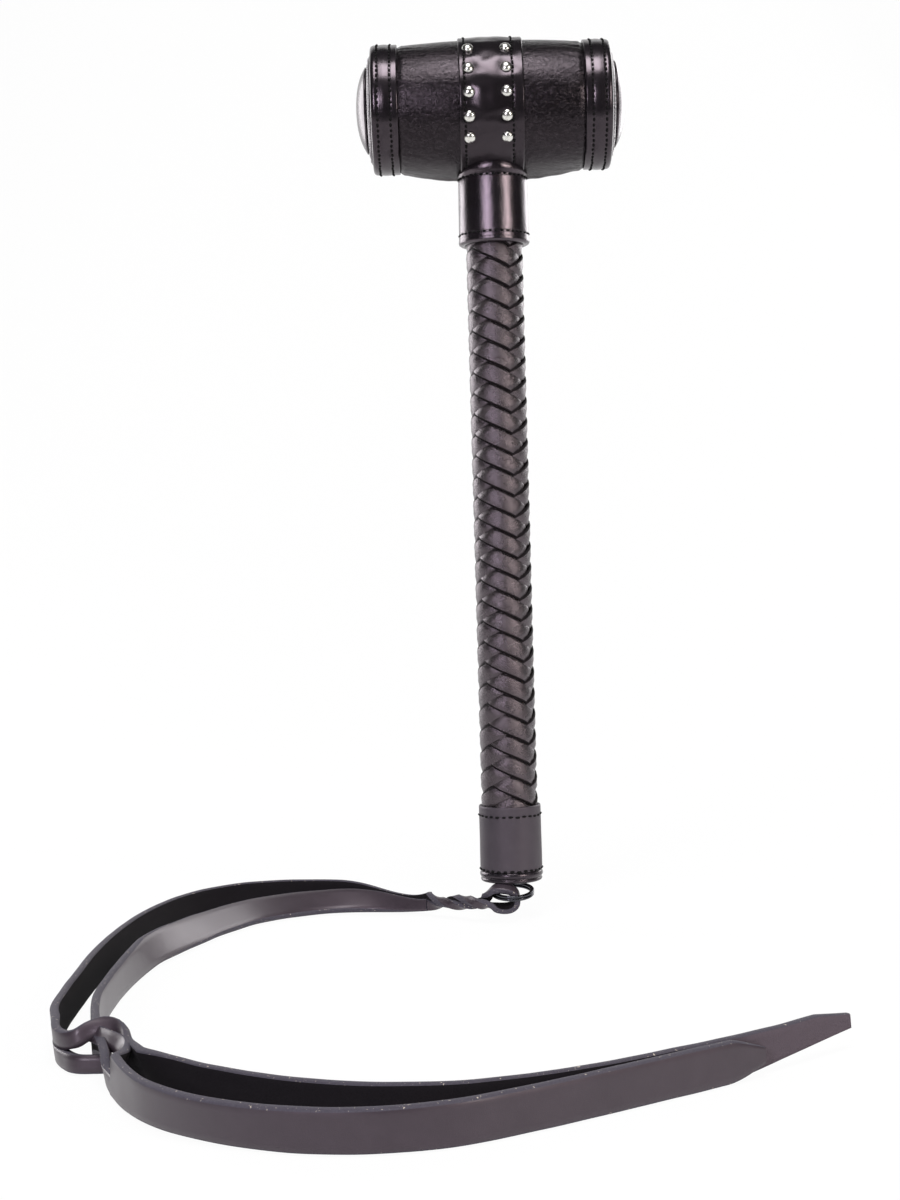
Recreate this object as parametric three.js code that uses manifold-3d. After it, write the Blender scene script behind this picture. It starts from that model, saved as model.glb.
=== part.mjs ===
// A leather hammer: a padded, leather-covered head on a braided grip, with a wrist strap.
// Millimetres. The handle runs along Z and the head along X, the side with the photographed
// studs faces -Y, and the origin is the middle of the braided grip.

import * as THREE from 'three';
import { mergeVertices } from 'three/addons/utils/BufferGeometryUtils.js';
import Module from 'manifold-3d';

const wasm = await Module();
wasm.setup();

// Fits and facets
const clearance = 0.3; // left between two pieces that touch
const overrun = 3; // by which a cutter passes what it cuts
const headFacets = 40;
const faceFacets = 32;
const handleFacets = 28;
const studFacets = 8;
const wireFacets = 8;

// Head: a turned core under a leather sleeve, with a band at each end and a belt round the middle
const headLength = 120; // over the end bands
const beltRadius = 34.9;
const beltWidth = 32;
const beltThickness = 1.6;
const sleeveThickness = 1.5;
const bandRadius = 32.1;
const bandWidth = 13.5;
const bandThickness = 1.4;
const bandLipRadius = 27.4; // inner edge of the leather that is turned over the end
const edgeRounding = 0.5;
const sleeveFoldLength = 1.2; // over which the sleeve dives under a band

// Striking faces: a stitched leather ring round a domed, felt-filled pad
const faceBulge = 8; // pad's crown beyond the end band
const padRadius = 21.5;
const padRise = 5.5;
const padThickness = 1.6;
const crownFlatRadius = 5;
const discThickness = 2;
const feltPlugRadius = 19.2;
const padSteps = 4;

// Studs: two columns of five on the front of the belt, and the same on the back
const studRadius = 2.7;
const studHeight = 1.9;
const studPostRadius = 0.9;
const studInset = 6.3; // from the belt's edge
const studRows = 5;
const studPitch = THREE.MathUtils.degToRad(20.5);
const lowestStud = THREE.MathUtils.degToRad(-36.6);

// Handle: a wooden core with a wedged tenon, under collars and a braided cover
const gripRadius = 14;
const braidThickness = 2;
const gripLength = 284.5; // between the collars
const upperCollarLength = 34.55; // up to the underside of the belt
const braidInset = 4.8; // of the braid's top below the belt
const tenonRadius = 10;
const tenonInset = 2.2; // of the tenon's end below the top of the head's core
const upperCollarRadius = 17.4;
const upperCollarLip = 0.5;
const collarLipHeight = 2;
const collarFlare = 0.8;
const lowerCollarRadius = 15.8;
const lowerCollarLength = 38.5;
const lowerLipHeight = 5;
const lowerLipGroove = 0.5;
const buttRecess = 2.3; // of the butt disc above the collar's end
const buttThickness = 2.7;
const wedgeWidth = 18;
const wedgeHeight = 24;
const wedgeThickness = 3.2;
const wedgeTip = 1.2;

// Screw eye and split ring
const eyeWireRadius = 1;
const eyeHoleRadius = 2.1;
const eyeDrop = 2; // of the eye's middle below the lower collar
const eyeShankLength = 26;
const ringRadius = 11; // outer
const ringWireRadius = 1;
const ringTilt = THREE.MathUtils.degToRad(11.3); // front edge down, held by the strap
const ringSteps = 32;
const eyeSteps = 20;

// Strap: one leather lace folded through the ring, its two strands locked by slits in a knot
const strapWidth = 15.2;
const strapThickness = 3.5;
const strapCorner = 0.7;
const surfaceHeight = -200; // surface that the strap lies on
const strapMiddle = surfaceHeight + strapWidth / 2;
const foldWidthShare = 0.8;
const foldRadius = 6.7; // outer, of the fold round the ring's wire
const foldHole = 3.6;
const foldCentre = [-3, -2.2]; // [across the ring, above its plane]
const wireRoom = 1; // from the ring's outer edge to the end of the fold's hole
const neckStart = -16; // along the fold, from the ring's middle

// Strand routes seen from above, chosen by hand: [x, y] at the middle of the strap
const strandA = [
  [-44, 8], [-58, 18], [-74, 25], [-91, 28], [-112, 21], [-133, 4], [-149, -25], [-161.5, -60],
  [-170, -97], [-174, -133], [-176.5, -165], [-177, -195], [-176, -222], [-173, -246], [-169, -266],
  [-164, -286], [-157.5, -305], [-150, -324], [-142, -341], [-131, -358], [-117, -373], [-100, -386],
  [-80, -395], [-58, -398], [-32, -393.5], [-5, -380], [25, -360], [45, -346.5], [60, -336.5], [84, -319.5],
];
const strandB = [
  [-41.8, 11.1], [-56.1, 21.3], [-72.5, 29.8], [-88, 36], [-104, 40.5], [-120, 42], [-140, 37], [-158, 22],
  [-170, 0], [-178.5, -28], [-184, -60], [-187, -100], [-188.5, -140], [-189, -180], [-188.5, -215],
  [-187.5, -242], [-185.5, -261], [-180, -273], [-170, -278], [-158, -280.5], [-149, -288], [-143.5, -300],
  [-138, -313], [-129.5, -327], [-117, -340], [-100, -353], [-80, -364], [-58, -371], [-32, -373],
  [-5, -367.5], [25, -352.5], [45, -340], [60, -331], [84, -314.7], [117, -293.5],
];
const knotOnA = [14, 17]; // route points between which each strand is in the knot
const knotOnB = [16, 22];
const strandASteps = [15, 4, 18];
const strandBSteps = [17, 10, 16];

const material = (color, roughness, metalness = 0) =>
  new THREE.MeshStandardMaterial({ color, roughness, metalness });
const smoothLeather = () => material('#17151a', 0.38);
const pebbledLeather = () => material('#131217', 0.45);
const matteLeather = () => material('#2a282e', 0.6);
const braidLeather = () => material('#1e1c21', 0.5);
const strapLeather = () => material('#3a353d', 0.7);
const beech = () => material('#b98f5c', 0.7);
const feltWool = () => material('#8c8678', 0.95);
const nickel = () => material('#dcdad5', 0.15, 1);
const blackNickel = () => material('#2b2b30', 0.25, 1);

// Geometry to manifold solid and back
function toSolid(geometry) {
  const bare = geometry.clone();
  bare.deleteAttribute('normal');
  bare.deleteAttribute('uv');
  const merged = mergeVertices(bare);
  const corners = merged.index.array;
  const triVerts = [];
  for (let i = 0; i < corners.length; i += 3) {
    const [a, b, c] = corners.slice(i, i + 3);
    if (a !== b && b !== c && c !== a) triVerts.push(a, b, c);
  }
  return new wasm.Manifold(new wasm.Mesh({
    numProp: 3,
    vertProperties: new Float32Array(merged.attributes.position.array),
    triVerts: new Uint32Array(triVerts),
  }));
}

function toGeometry(solid) {
  const mesh = solid.getMesh();
  const geometry = new THREE.BufferGeometry();
  geometry.setAttribute('position', new THREE.BufferAttribute(mesh.vertProperties, 3));
  geometry.setIndex(new THREE.BufferAttribute(mesh.triVerts, 1));
  geometry.computeVertexNormals();
  return geometry;
}

const cut = (body, ...tools) =>
  toGeometry(tools.reduce((left, tool) => left.subtract(toSolid(tool)), toSolid(body)));
const join = (first, ...others) =>
  toGeometry(others.reduce((sum, other) => sum.add(toSolid(other)), toSolid(first)));

// Turned pieces: a profile of [radius, height] points, counter-clockwise, round Z or round X
function turnedOnZ(profile, facets) {
  const points = profile.map(([radius, height]) => new THREE.Vector2(radius, height));
  return new THREE.LatheGeometry(points, facets).rotateX(Math.PI / 2);
}

function turnedOnX(profile, facets) {
  const points = profile.map(([radius, along]) => new THREE.Vector2(radius, along));
  return new THREE.LatheGeometry(points, facets).rotateZ(-Math.PI / 2);
}

const closed = (profile) => [...profile, profile[0]];

function rodOnZ(radius, from, to, facets) {
  return turnedOnZ([[0, from], [radius, from], [radius, to], [0, to]], facets);
}

// Heights, from the middle of the grip
const gripTop = gripLength / 2;
const gripBottom = -gripLength / 2;
const shoulder = gripTop + upperCollarLength;
const headHeight = shoulder + clearance + beltRadius;

// Head: the sleeve's barrel outline is shared by the sleeve, its lining side and the core
const headEnd = headLength / 2;
const bandInnerEdge = headEnd - bandWidth;
const sleeveEnd = headEnd - bandThickness - clearance;
const sleeveMidRadius = beltRadius - beltThickness - clearance;
const sleeveEndRadius = bandRadius - bandThickness - clearance;
const barrelSpan = bandInnerEdge - clearance - sleeveFoldLength - beltWidth / 2;
const barrelShares = [[0, 0], [0.45, 0.08], [0.8, 0.3], [1, 0.6]]; // [share of span, share of drop]

function barrelHalf(depth) {
  const drop = sleeveMidRadius - sleeveEndRadius;
  const flank = barrelShares.map(([along, down]) =>
    [sleeveMidRadius - drop * down - depth, beltWidth / 2 + barrelSpan * along]);
  return [
    ...flank,
    [sleeveEndRadius - depth, bandInnerEdge - clearance],
    [sleeveEndRadius - depth, sleeveEnd],
  ];
}

function barrel(depth) {
  const half = barrelHalf(depth);
  const other = half.map(([radius, along]) => [radius, -along]).reverse();
  return [...other, ...half];
}

const coreDepth = sleeveThickness + clearance;
const handleHole = () =>
  rodOnZ(tenonRadius + clearance, -beltRadius - overrun, 0, handleFacets);

function headCore() {
  const body = turnedOnX([[0, -sleeveEnd], ...barrel(coreDepth), [0, sleeveEnd]], headFacets);
  const bore = rodOnZ(tenonRadius + clearance, -beltRadius - overrun, beltRadius + overrun, handleFacets);
  return cut(body, bore);
}

function headSleeve() {
  const inside = barrel(sleeveThickness).reverse();
  return cut(turnedOnX(closed([...barrel(0), ...inside]), headFacets), handleHole());
}

function endBand() {
  const inner = bandRadius - bandThickness;
  return turnedOnX(closed([
    [inner, bandInnerEdge],
    [bandRadius - edgeRounding, bandInnerEdge],
    [bandRadius, bandInnerEdge + edgeRounding],
    [bandRadius, headEnd - bandThickness],
    [bandRadius - bandThickness / 2, headEnd - bandThickness / 4],
    [bandRadius - bandThickness, headEnd],
    [bandLipRadius, headEnd],
    [bandLipRadius, headEnd - bandThickness],
    [inner, headEnd - bandThickness],
  ]), headFacets);
}

// Striking face: the dome is part of a sphere through the pad's rim and the rim of its flat crown
const padCrown = headEnd + faceBulge;
const padBase = padCrown - padRise;
const domeCentre = (padCrown ** 2 + crownFlatRadius ** 2 - padBase ** 2 - padRadius ** 2) / (2 * padRise);
const domeRadius = Math.hypot(padCrown - domeCentre, crownFlatRadius);
const seatPlane = sleeveEnd + clearance;

function domeArc(radius, fromRadius, toRadius) {
  return Array.from({ length: padSteps + 1 }, (_, step) => {
    const out = THREE.MathUtils.lerp(fromRadius, toRadius, step / padSteps);
    return [out, domeCentre + Math.sqrt(radius ** 2 - out ** 2)];
  });
}

function facePad() {
  const inner = domeRadius - padThickness;
  const innerRim = Math.sqrt(inner ** 2 - (padBase - domeCentre) ** 2);
  const outside = domeArc(domeRadius, padRadius, crownFlatRadius);
  const inside = domeArc(inner, innerRim, 0).reverse();
  return turnedOnX([...inside, ...outside, [0, padCrown]], faceFacets);
}

function faceFelt() {
  const dome = domeArc(domeRadius - padThickness - clearance, feltPlugRadius, 0);
  return turnedOnX([[0, seatPlane], [feltPlugRadius, seatPlane], ...dome], faceFacets);
}

function endDisc() {
  const hole = feltPlugRadius + clearance;
  const rim = bandLipRadius - clearance;
  return turnedOnX(closed([
    [hole, seatPlane],
    [rim, seatPlane],
    [rim, seatPlane + discThickness - edgeRounding],
    [rim - edgeRounding, seatPlane + discThickness],
    [hole, padBase - clearance],
  ]), headFacets);
}

// Belt, with a post hole for each stud and a hole for the tenon
const studAngles = Array.from({ length: studRows }, (_, row) => lowestStud + row * studPitch);
const studPlaces = [['front', -1], ['back', 1]].flatMap(([side, facing]) =>
  [['left', -1], ['right', 1]].flatMap(([column, across]) =>
    studAngles.map((angle, row) => ({
      name: `stud_${side}_${column}_${row + 1}`,
      x: across * (beltWidth / 2 - studInset),
      tilt: facing * (Math.PI / 2 - angle),
    }))));

const placeStud = (geometry, place) => geometry.rotateX(-place.tilt).translate(place.x, 0, 0);

function stud() {
  return turnedOnZ([
    [0, beltRadius - beltThickness],
    [studPostRadius, beltRadius - beltThickness],
    [studPostRadius, beltRadius + clearance],
    [studRadius, beltRadius + clearance],
    [studRadius * Math.cos(Math.PI / 6), beltRadius + clearance + studHeight * Math.sin(Math.PI / 6)],
    [studRadius * Math.cos(Math.PI / 3), beltRadius + clearance + studHeight * Math.sin(Math.PI / 3)],
    [0, beltRadius + clearance + studHeight],
  ], studFacets);
}

function centreBelt() {
  const half = beltWidth / 2;
  const inner = beltRadius - beltThickness;
  const band = turnedOnX(closed([
    [inner, -half],
    [beltRadius - edgeRounding, -half],
    [beltRadius, edgeRounding - half],
    [beltRadius, half - edgeRounding],
    [beltRadius - edgeRounding, half],
    [inner, half],
  ]), headFacets);
  const holes = studPlaces.map((place) => placeStud(
    rodOnZ(studPostRadius + clearance, inner - overrun, beltRadius + overrun, studFacets), place));
  return cut(band, handleHole(), ...holes);
}

// Handle
const collarEnd = gripBottom - lowerCollarLength;
const buttFace = collarEnd + buttRecess;
const coreBottom = buttFace + buttThickness + clearance;
const tenonTop = headHeight + sleeveMidRadius - coreDepth - tenonInset;
const coreRadius = gripRadius - braidThickness - clearance;
const eyeHeight = collarEnd - eyeDrop;

function wedgeShape(gap) {
  const top = new THREE.Shape();
  top.moveTo(-wedgeTip / 2 - gap, -wedgeHeight - gap);
  top.lineTo(wedgeTip / 2 + gap, -wedgeHeight - gap);
  top.lineTo(wedgeThickness / 2 + gap, gap);
  top.lineTo(-wedgeThickness / 2 - gap, gap);
  return top;
}

function wedgeBlock(gap, width) {
  return new THREE.ExtrudeGeometry(wedgeShape(gap), { depth: width, bevelEnabled: false })
    .translate(0, 0, -width / 2)
    .rotateY(Math.PI / 2)
    .rotateX(Math.PI / 2)
    .translate(0, 0, tenonTop);
}

function handleCore() {
  const body = turnedOnZ([
    [0, coreBottom], [coreRadius, coreBottom], [coreRadius, shoulder],
    [tenonRadius, shoulder], [tenonRadius, tenonTop], [0, tenonTop],
  ], handleFacets);
  const pilot = rodOnZ(eyeWireRadius + clearance, coreBottom - overrun,
    eyeHeight + eyeHoleRadius + eyeShankLength + clearance, wireFacets);
  return cut(body, wedgeBlock(clearance, 2 * (tenonRadius + overrun)), pilot);
}

function braidedCover() {
  const inner = gripRadius - braidThickness;
  const top = shoulder - braidInset;
  return turnedOnZ(closed([
    [inner, coreBottom], [gripRadius, coreBottom], [gripRadius, top], [inner, top],
  ]), handleFacets);
}

function upperCollar() {
  const inner = gripRadius + clearance;
  const outer = upperCollarRadius;
  const lip = outer + upperCollarLip;
  const tube = turnedOnZ(closed([
    [inner, gripTop],
    [outer, gripTop],
    [lip, gripTop + collarLipHeight / 2],
    [outer, gripTop + collarLipHeight],
    [outer, shoulder - collarLipHeight],
    [outer + collarFlare, headHeight],
    [inner, headHeight],
  ]), handleFacets);
  const beltRoom = turnedOnX([
    [0, -beltWidth / 2 - clearance],
    [beltRadius + clearance, -beltWidth / 2 - clearance],
    [beltRadius + clearance, beltWidth / 2 + clearance],
    [0, beltWidth / 2 + clearance],
  ], headFacets).translate(0, 0, headHeight);
  const sleeveRoom = turnedOnX([
    [0, -headEnd], [sleeveMidRadius + clearance, -headEnd],
    [sleeveMidRadius + clearance, headEnd], [0, headEnd],
  ], headFacets).translate(0, 0, headHeight);
  return cut(tube, beltRoom, sleeveRoom);
}

function lowerCollar() {
  const inner = gripRadius + clearance;
  const outer = lowerCollarRadius;
  const lip = collarEnd + lowerLipHeight;
  return turnedOnZ(closed([
    [inner, collarEnd],
    [outer - edgeRounding, collarEnd],
    [outer, collarEnd + edgeRounding],
    [outer, lip - edgeRounding],
    [outer - lowerLipGroove, lip],
    [outer, lip + edgeRounding],
    [outer, gripBottom - edgeRounding],
    [outer - edgeRounding, gripBottom],
    [inner, gripBottom],
  ]), handleFacets);
}

function buttDisc() {
  const hole = eyeWireRadius + clearance;
  return turnedOnZ(closed([
    [hole, buttFace],
    [gripRadius - edgeRounding, buttFace],
    [gripRadius, buttFace + edgeRounding],
    [gripRadius, buttFace + buttThickness],
    [hole, buttFace + buttThickness],
  ]), handleFacets);
}

function screwEye() {
  const middle = eyeHoleRadius + eyeWireRadius;
  const eye = new THREE.TorusGeometry(middle, eyeWireRadius, wireFacets, eyeSteps)
    .rotateY(Math.PI / 2);
  const shank = rodOnZ(eyeWireRadius, middle, eyeHoleRadius + eyeShankLength, wireFacets);
  return join(eye, shank);
}

// Ring: it hangs through the eye, and turns about the wire that lies there
const ringWireCircle = ringRadius - ringWireRadius;
const ringSlack = (eyeHoleRadius - ringWireRadius - clearance) * Math.SQRT1_2;
const hinge = new THREE.Vector3(0, -ringSlack, eyeHeight - ringSlack);

const splitRing = () => new THREE.TorusGeometry(ringWireCircle, ringWireRadius, wireFacets, ringSteps);

// Strap strands stand on edge along their routes
class Stretch extends THREE.Curve {
  constructor(whole, from, to) {
    super();
    this.whole = whole;
    this.from = from;
    this.to = to;
  }

  getPoint(t, target = new THREE.Vector3()) {
    return target.copy(this.whole.getPointAt(THREE.MathUtils.lerp(this.from, this.to, t)));
  }
}

function strapSection() {
  const [halfWidth, halfThick] = [strapWidth / 2, strapThickness / 2];
  const section = new THREE.Shape();
  section.moveTo(halfWidth, halfThick - strapCorner);
  section.lineTo(halfWidth - strapCorner, halfThick);
  section.lineTo(strapCorner - halfWidth, halfThick);
  section.lineTo(-halfWidth, halfThick - strapCorner);
  section.lineTo(-halfWidth, strapCorner - halfThick);
  section.lineTo(strapCorner - halfWidth, -halfThick);
  section.lineTo(halfWidth - strapCorner, -halfThick);
  section.lineTo(halfWidth, strapCorner - halfThick);
  return section;
}

function routeCurve(route) {
  const points = route.map(([x, y]) => new THREE.Vector3(x, y, strapMiddle));
  return new THREE.CatmullRomCurve3(points, false, 'centripetal');
}

// Cuts a strand into its back stretch, its stretch in the knot and its front stretch
function strandPieces(route, knot, steps) {
  const curve = routeCurve(route);
  const total = curve.getLength();
  const lengths = curve.getLengths(200);
  const shareAt = (index) => lengths[Math.round(200 * index / (route.length - 1))] / total;
  const [first, last] = knot.map(shareAt);
  const gap = clearance / total;
  const ends = [[0, first], [first + gap, last - gap], [last, 1]];
  return ends.map(([from, to], part) => new THREE.ExtrudeGeometry(strapSection(), {
    steps: steps[part],
    extrudePath: new Stretch(curve, from, to),
    bevelEnabled: false,
  }));
}

const [aBack, aKnot, aFront] = strandPieces(strandA, knotOnA, strandASteps);
const [bBack, bKnot, bFront] = strandPieces(strandB, knotOnB, strandBSteps);

// Bight: the lace's fold round the ring's wire, then the neck where the strands twist together
function foldShape() {
  const [across, above] = foldCentre;
  const quarter = Math.PI / 2;
  const shape = new THREE.Shape();
  shape.absarc(across, above, foldRadius, -quarter, quarter, false);
  shape.lineTo(neckStart, above + foldRadius - strapThickness / 2);
  shape.lineTo(neckStart, above - foldRadius + strapThickness);
  shape.closePath();
  const hole = new THREE.Path();
  hole.absarc(across, above, foldHole, quarter, -quarter, true);
  hole.lineTo(-ringRadius - wireRoom, -ringWireRadius - clearance);
  hole.lineTo(-ringRadius - wireRoom, ringWireRadius + clearance);
  hole.closePath();
  shape.holes.push(hole);
  return shape;
}

function fold() {
  const width = strapWidth * foldWidthShare;
  return new THREE.ExtrudeGeometry(foldShape(), { depth: width, bevelEnabled: false, curveSegments: 8 })
    .translate(0, 0, -width / 2)
    .rotateX(Math.PI / 2);
}

// Neck stations: [share of the way, half width, half height] in shares of the strap's width
const neckShares = [
  [0, 0.4, 0.22], [0.2, 0.34, 0.26], [0.45, 0.27, 0.29], [0.7, 0.24, 0.36], [1, 0.24, 0.5],
];

function neckRing(centre, sideways, halfWidth, halfHeight) {
  const bevel = 0.6; // share of each half side that stays flat
  const corners = [
    [1, bevel], [bevel, 1], [-bevel, 1], [-1, bevel], [-1, -bevel], [-bevel, -1], [bevel, -1], [1, -bevel],
  ];
  return corners.map(([along, up]) => centre.clone()
    .addScaledVector(sideways, along * halfWidth)
    .add(new THREE.Vector3(0, 0, up * halfHeight)));
}

function lofted(rings) {
  const count = rings[0].length;
  const positions = rings.flat().flatMap((point) => point.toArray());
  const index = [];
  for (let ring = 0; ring + 1 < rings.length; ring += 1) {
    for (let corner = 0; corner < count; corner += 1) {
      const a = ring * count + corner;
      const b = ring * count + (corner + 1) % count;
      index.push(a, b, a + count, b, b + count, a + count);
    }
  }
  const last = (rings.length - 1) * count;
  for (let corner = 1; corner + 1 < count; corner += 1) {
    index.push(0, corner + 1, corner, last, last + corner, last + corner + 1);
  }
  const geometry = new THREE.BufferGeometry();
  geometry.setAttribute('position', new THREE.Float32BufferAttribute(positions, 3));
  geometry.setIndex(index);
  return geometry;
}

function neck(start) {
  const endA = new THREE.Vector3(...strandA[0], strapMiddle);
  const endB = new THREE.Vector3(...strandB[0], strapMiddle);
  const heading = routeCurve(strandA).getTangent(0);
  const end = endA.clone().lerp(endB, 0.5).addScaledVector(heading, -clearance);
  const bend = end.clone().addScaledVector(heading, neckStart);
  const path = new THREE.QuadraticBezierCurve3(start, bend, end);
  const rings = neckShares.map(([way, width, height]) => {
    const tangent = path.getTangent(way);
    const sideways = new THREE.Vector3(-tangent.y, tangent.x, 0).normalize();
    return neckRing(path.getPoint(way), sideways, width * strapWidth, height * strapWidth);
  });
  return lofted(rings);
}

function bight() {
  const ringCentre = new THREE.Vector3(0, -ringWireCircle, 0)
    .applyAxisAngle(new THREE.Vector3(1, 0, 0), ringTilt)
    .add(hinge);
  const loop = fold().rotateX(ringTilt).translate(...ringCentre);
  const start = ringCentre.clone().add(new THREE.Vector3(neckStart + clearance, 0, foldCentre[1]));
  return join(loop, neck(start));
}

// Assembly
const piece = (name, geometry, finish) => {
  const mesh = new THREE.Mesh(geometry, finish);
  mesh.name = name;
  return mesh;
};

function strikingEnd(side) {
  const end = new THREE.Group();
  end.add(
    piece(`end_band_${side}`, endBand(), smoothLeather()),
    piece(`end_disc_${side}`, endDisc(), smoothLeather()),
    piece(`face_felt_${side}`, faceFelt(), feltWool()),
    piece(`face_pad_${side}`, facePad(), smoothLeather()),
  );
  return end;
}

const head = new THREE.Group();
const leftEnd = strikingEnd('left');
leftEnd.rotation.z = Math.PI;
head.add(
  piece('head_core', headCore(), beech()),
  piece('head_sleeve', headSleeve(), pebbledLeather()),
  piece('centre_belt', centreBelt(), smoothLeather()),
  strikingEnd('right'),
  leftEnd,
  ...studPlaces.map((place) => piece(place.name, placeStud(stud(), place), nickel())),
);
head.position.z = headHeight;

const handle = new THREE.Group();
handle.add(
  piece('handle_core', handleCore(), beech()),
  piece('tenon_wedge', wedgeBlock(0, wedgeWidth), beech()),
  piece('braided_cover', braidedCover(), braidLeather()),
  piece('upper_collar', upperCollar(), smoothLeather()),
  piece('lower_collar', lowerCollar(), matteLeather()),
  piece('butt_disc', buttDisc(), matteLeather()),
);

const eye = piece('screw_eye', screwEye(), blackNickel());
eye.position.z = eyeHeight;

const ring = piece('split_ring', splitRing(), blackNickel());
ring.position.y = -ringWireCircle;
const ringMount = new THREE.Group();
ringMount.position.copy(hinge);
ringMount.rotation.x = ringTilt;
ringMount.add(ring);

const strap = new THREE.Group();
strap.add(
  piece('strap_bight', bight(), strapLeather()),
  piece('strap_strand_a_back', aBack, strapLeather()),
  piece('strap_strand_b_back', bBack, strapLeather()),
  piece('strap_knot', join(aKnot, bKnot), strapLeather()),
  piece('strap_strand_a_front', aFront, strapLeather()),
  piece('strap_strand_b_front', bFront, strapLeather()),
);

const hammer = new THREE.Group();
hammer.add(head, handle, eye, ringMount, strap);

export default hammer;
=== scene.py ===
import math

import bmesh
import bpy
from mathutils import Matrix, Vector, noise


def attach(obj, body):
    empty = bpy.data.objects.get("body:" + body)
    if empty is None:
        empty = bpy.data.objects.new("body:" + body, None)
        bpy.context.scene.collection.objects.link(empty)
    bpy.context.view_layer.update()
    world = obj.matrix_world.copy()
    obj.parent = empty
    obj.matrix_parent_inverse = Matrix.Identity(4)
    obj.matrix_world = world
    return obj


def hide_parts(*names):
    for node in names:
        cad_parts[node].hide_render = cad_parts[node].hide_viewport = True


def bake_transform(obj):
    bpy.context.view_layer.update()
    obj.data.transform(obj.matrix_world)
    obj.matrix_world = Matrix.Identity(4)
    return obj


# Leather hammer: a padded, leather-covered head on a braided grip, with a wrist strap on a ring.
# Metres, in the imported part's frame: the handle runs along Z, the head along X, and the side
# with the photographed studs faces -Y.
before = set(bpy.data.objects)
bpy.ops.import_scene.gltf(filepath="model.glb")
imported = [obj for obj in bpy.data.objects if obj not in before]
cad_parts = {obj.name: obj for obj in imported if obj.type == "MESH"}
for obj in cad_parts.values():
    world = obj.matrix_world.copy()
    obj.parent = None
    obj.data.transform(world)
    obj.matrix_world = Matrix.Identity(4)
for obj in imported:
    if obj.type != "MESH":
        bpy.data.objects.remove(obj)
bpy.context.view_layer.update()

# Camera, level with the lower part of the grip and looking a little down, turned so that the
# hammer stands in the frame as it does in the photograph.
CAMERA_PLACE = (-0.027, -1.020, -0.012)
CAMERA_DIP = math.radians(1.403)
CAMERA_SWING = math.radians(0.03)
CAMERA_ROLL = math.radians(-1.62)


def linked(name, data):
    made = bpy.data.objects.new(name, data)
    bpy.context.scene.collection.objects.link(made)
    return made


lens = bpy.data.cameras.new("camera")
lens.lens = 60
lens.sensor_width = 36
lens.clip_start = 0.05
camera = linked("camera", lens)
level = Matrix.Rotation(CAMERA_SWING, 4, "Z") @ Matrix.Rotation(math.radians(90) - CAMERA_DIP, 4, "X")
camera.matrix_world = Matrix.Translation(CAMERA_PLACE) @ level @ Matrix.Rotation(CAMERA_ROLL, 4, "Z")
bpy.context.scene.camera = camera
bpy.context.scene.view_settings.view_transform = "Standard"

# Floor and backdrop: one pale sweep. What the camera and mirrors see of it is lifted to white,
# and it keeps the hammer's soft shadow. A camera behind it looks through its back.
FLOOR_LEVEL = -0.2003
FLOOR_FRONT = -0.75
FLOOR_DEPTH = 0.9
SWEEP_RADIUS = 0.5
SWEEP_HEIGHT = 2.2
SWEEP_HALF_WIDTH = 3.2
line = [(FLOOR_FRONT, 0.0), (FLOOR_DEPTH, 0.0)]
for angle in (0.3, 0.6, 0.9, 1.2, 1.5707):
    line.append((FLOOR_DEPTH + SWEEP_RADIUS * math.sin(angle), SWEEP_RADIUS * (1 - math.cos(angle))))
line.append((FLOOR_DEPTH + SWEEP_RADIUS, SWEEP_HEIGHT))
corners = [(x, y, FLOOR_LEVEL + z) for y, z in line for x in (-SWEEP_HALF_WIDTH, SWEEP_HALF_WIDTH)]
sweep = bpy.data.meshes.new("floor")
sweep.from_pydata(corners, [], [(2 * i, 2 * i + 1, 2 * i + 3, 2 * i + 2) for i in range(len(line) - 1)])
for face in sweep.polygons:
    face.use_smooth = True
floor = linked("floor", sweep)


def finish(name, **sockets):
    """A new material, its tree and its shader, with the shader's sockets set."""
    material = bpy.data.materials.new(name)
    material.use_nodes = True
    shader = material.node_tree.nodes["Principled BSDF"]
    for socket, value in sockets.items():
        shader.inputs[socket.replace("_", " ")].default_value = value
    return material, material.node_tree, shader


def node(tree, kind, values=None, **settings):
    """A new node. Each of its values is a number, or a socket that gets linked."""
    made = tree.nodes.new(kind)
    for key, value in settings.items():
        setattr(made, key, value)
    for socket, value in (values or {}).items():
        value = getattr(value, "socket", value)
        if isinstance(value, bpy.types.NodeSocket):
            tree.links.new(value, made.inputs[socket])
        else:
            made.inputs[socket].default_value = value
    return made


def sum_of(tree, operation, *terms):
    """What one Math node makes of its terms."""
    return node(tree, "ShaderNodeMath", dict(enumerate(terms)), operation=operation).outputs[0]


paper, tree, shader = finish(
    "pale_paper", Base_Color=(0.86, 0.86, 0.86, 1), Roughness=0.9, Specular_IOR_Level=0.0)
white = node(tree, "ShaderNodeEmission", {"Color": (1, 1, 1, 1), "Strength": 1.0})
ray = node(tree, "ShaderNodeLightPath").outputs
mirrored = sum_of(tree, "MAXIMUM", ray["Is Glossy Ray"], ray["Is Transmission Ray"])
lift = sum_of(tree, "MULTIPLY", sum_of(tree, "MAXIMUM", ray["Is Camera Ray"], mirrored), 0.95)
lifted = node(tree, "ShaderNodeMixShader", {0: lift, 1: shader.outputs[0], 2: white.outputs[0]})
back = node(tree, "ShaderNodeNewGeometry").outputs["Backfacing"]
clear = node(tree, "ShaderNodeBsdfTransparent")
open_back = node(tree, "ShaderNodeMixShader", {
    0: sum_of(tree, "MULTIPLY", back, ray["Is Camera Ray"]), 1: lifted.outputs[0], 2: clear.outputs[0]})
tree.links.new(open_back.outputs[0], tree.nodes["Material Output"].inputs["Surface"])
floor.data.materials.append(paper)

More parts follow.
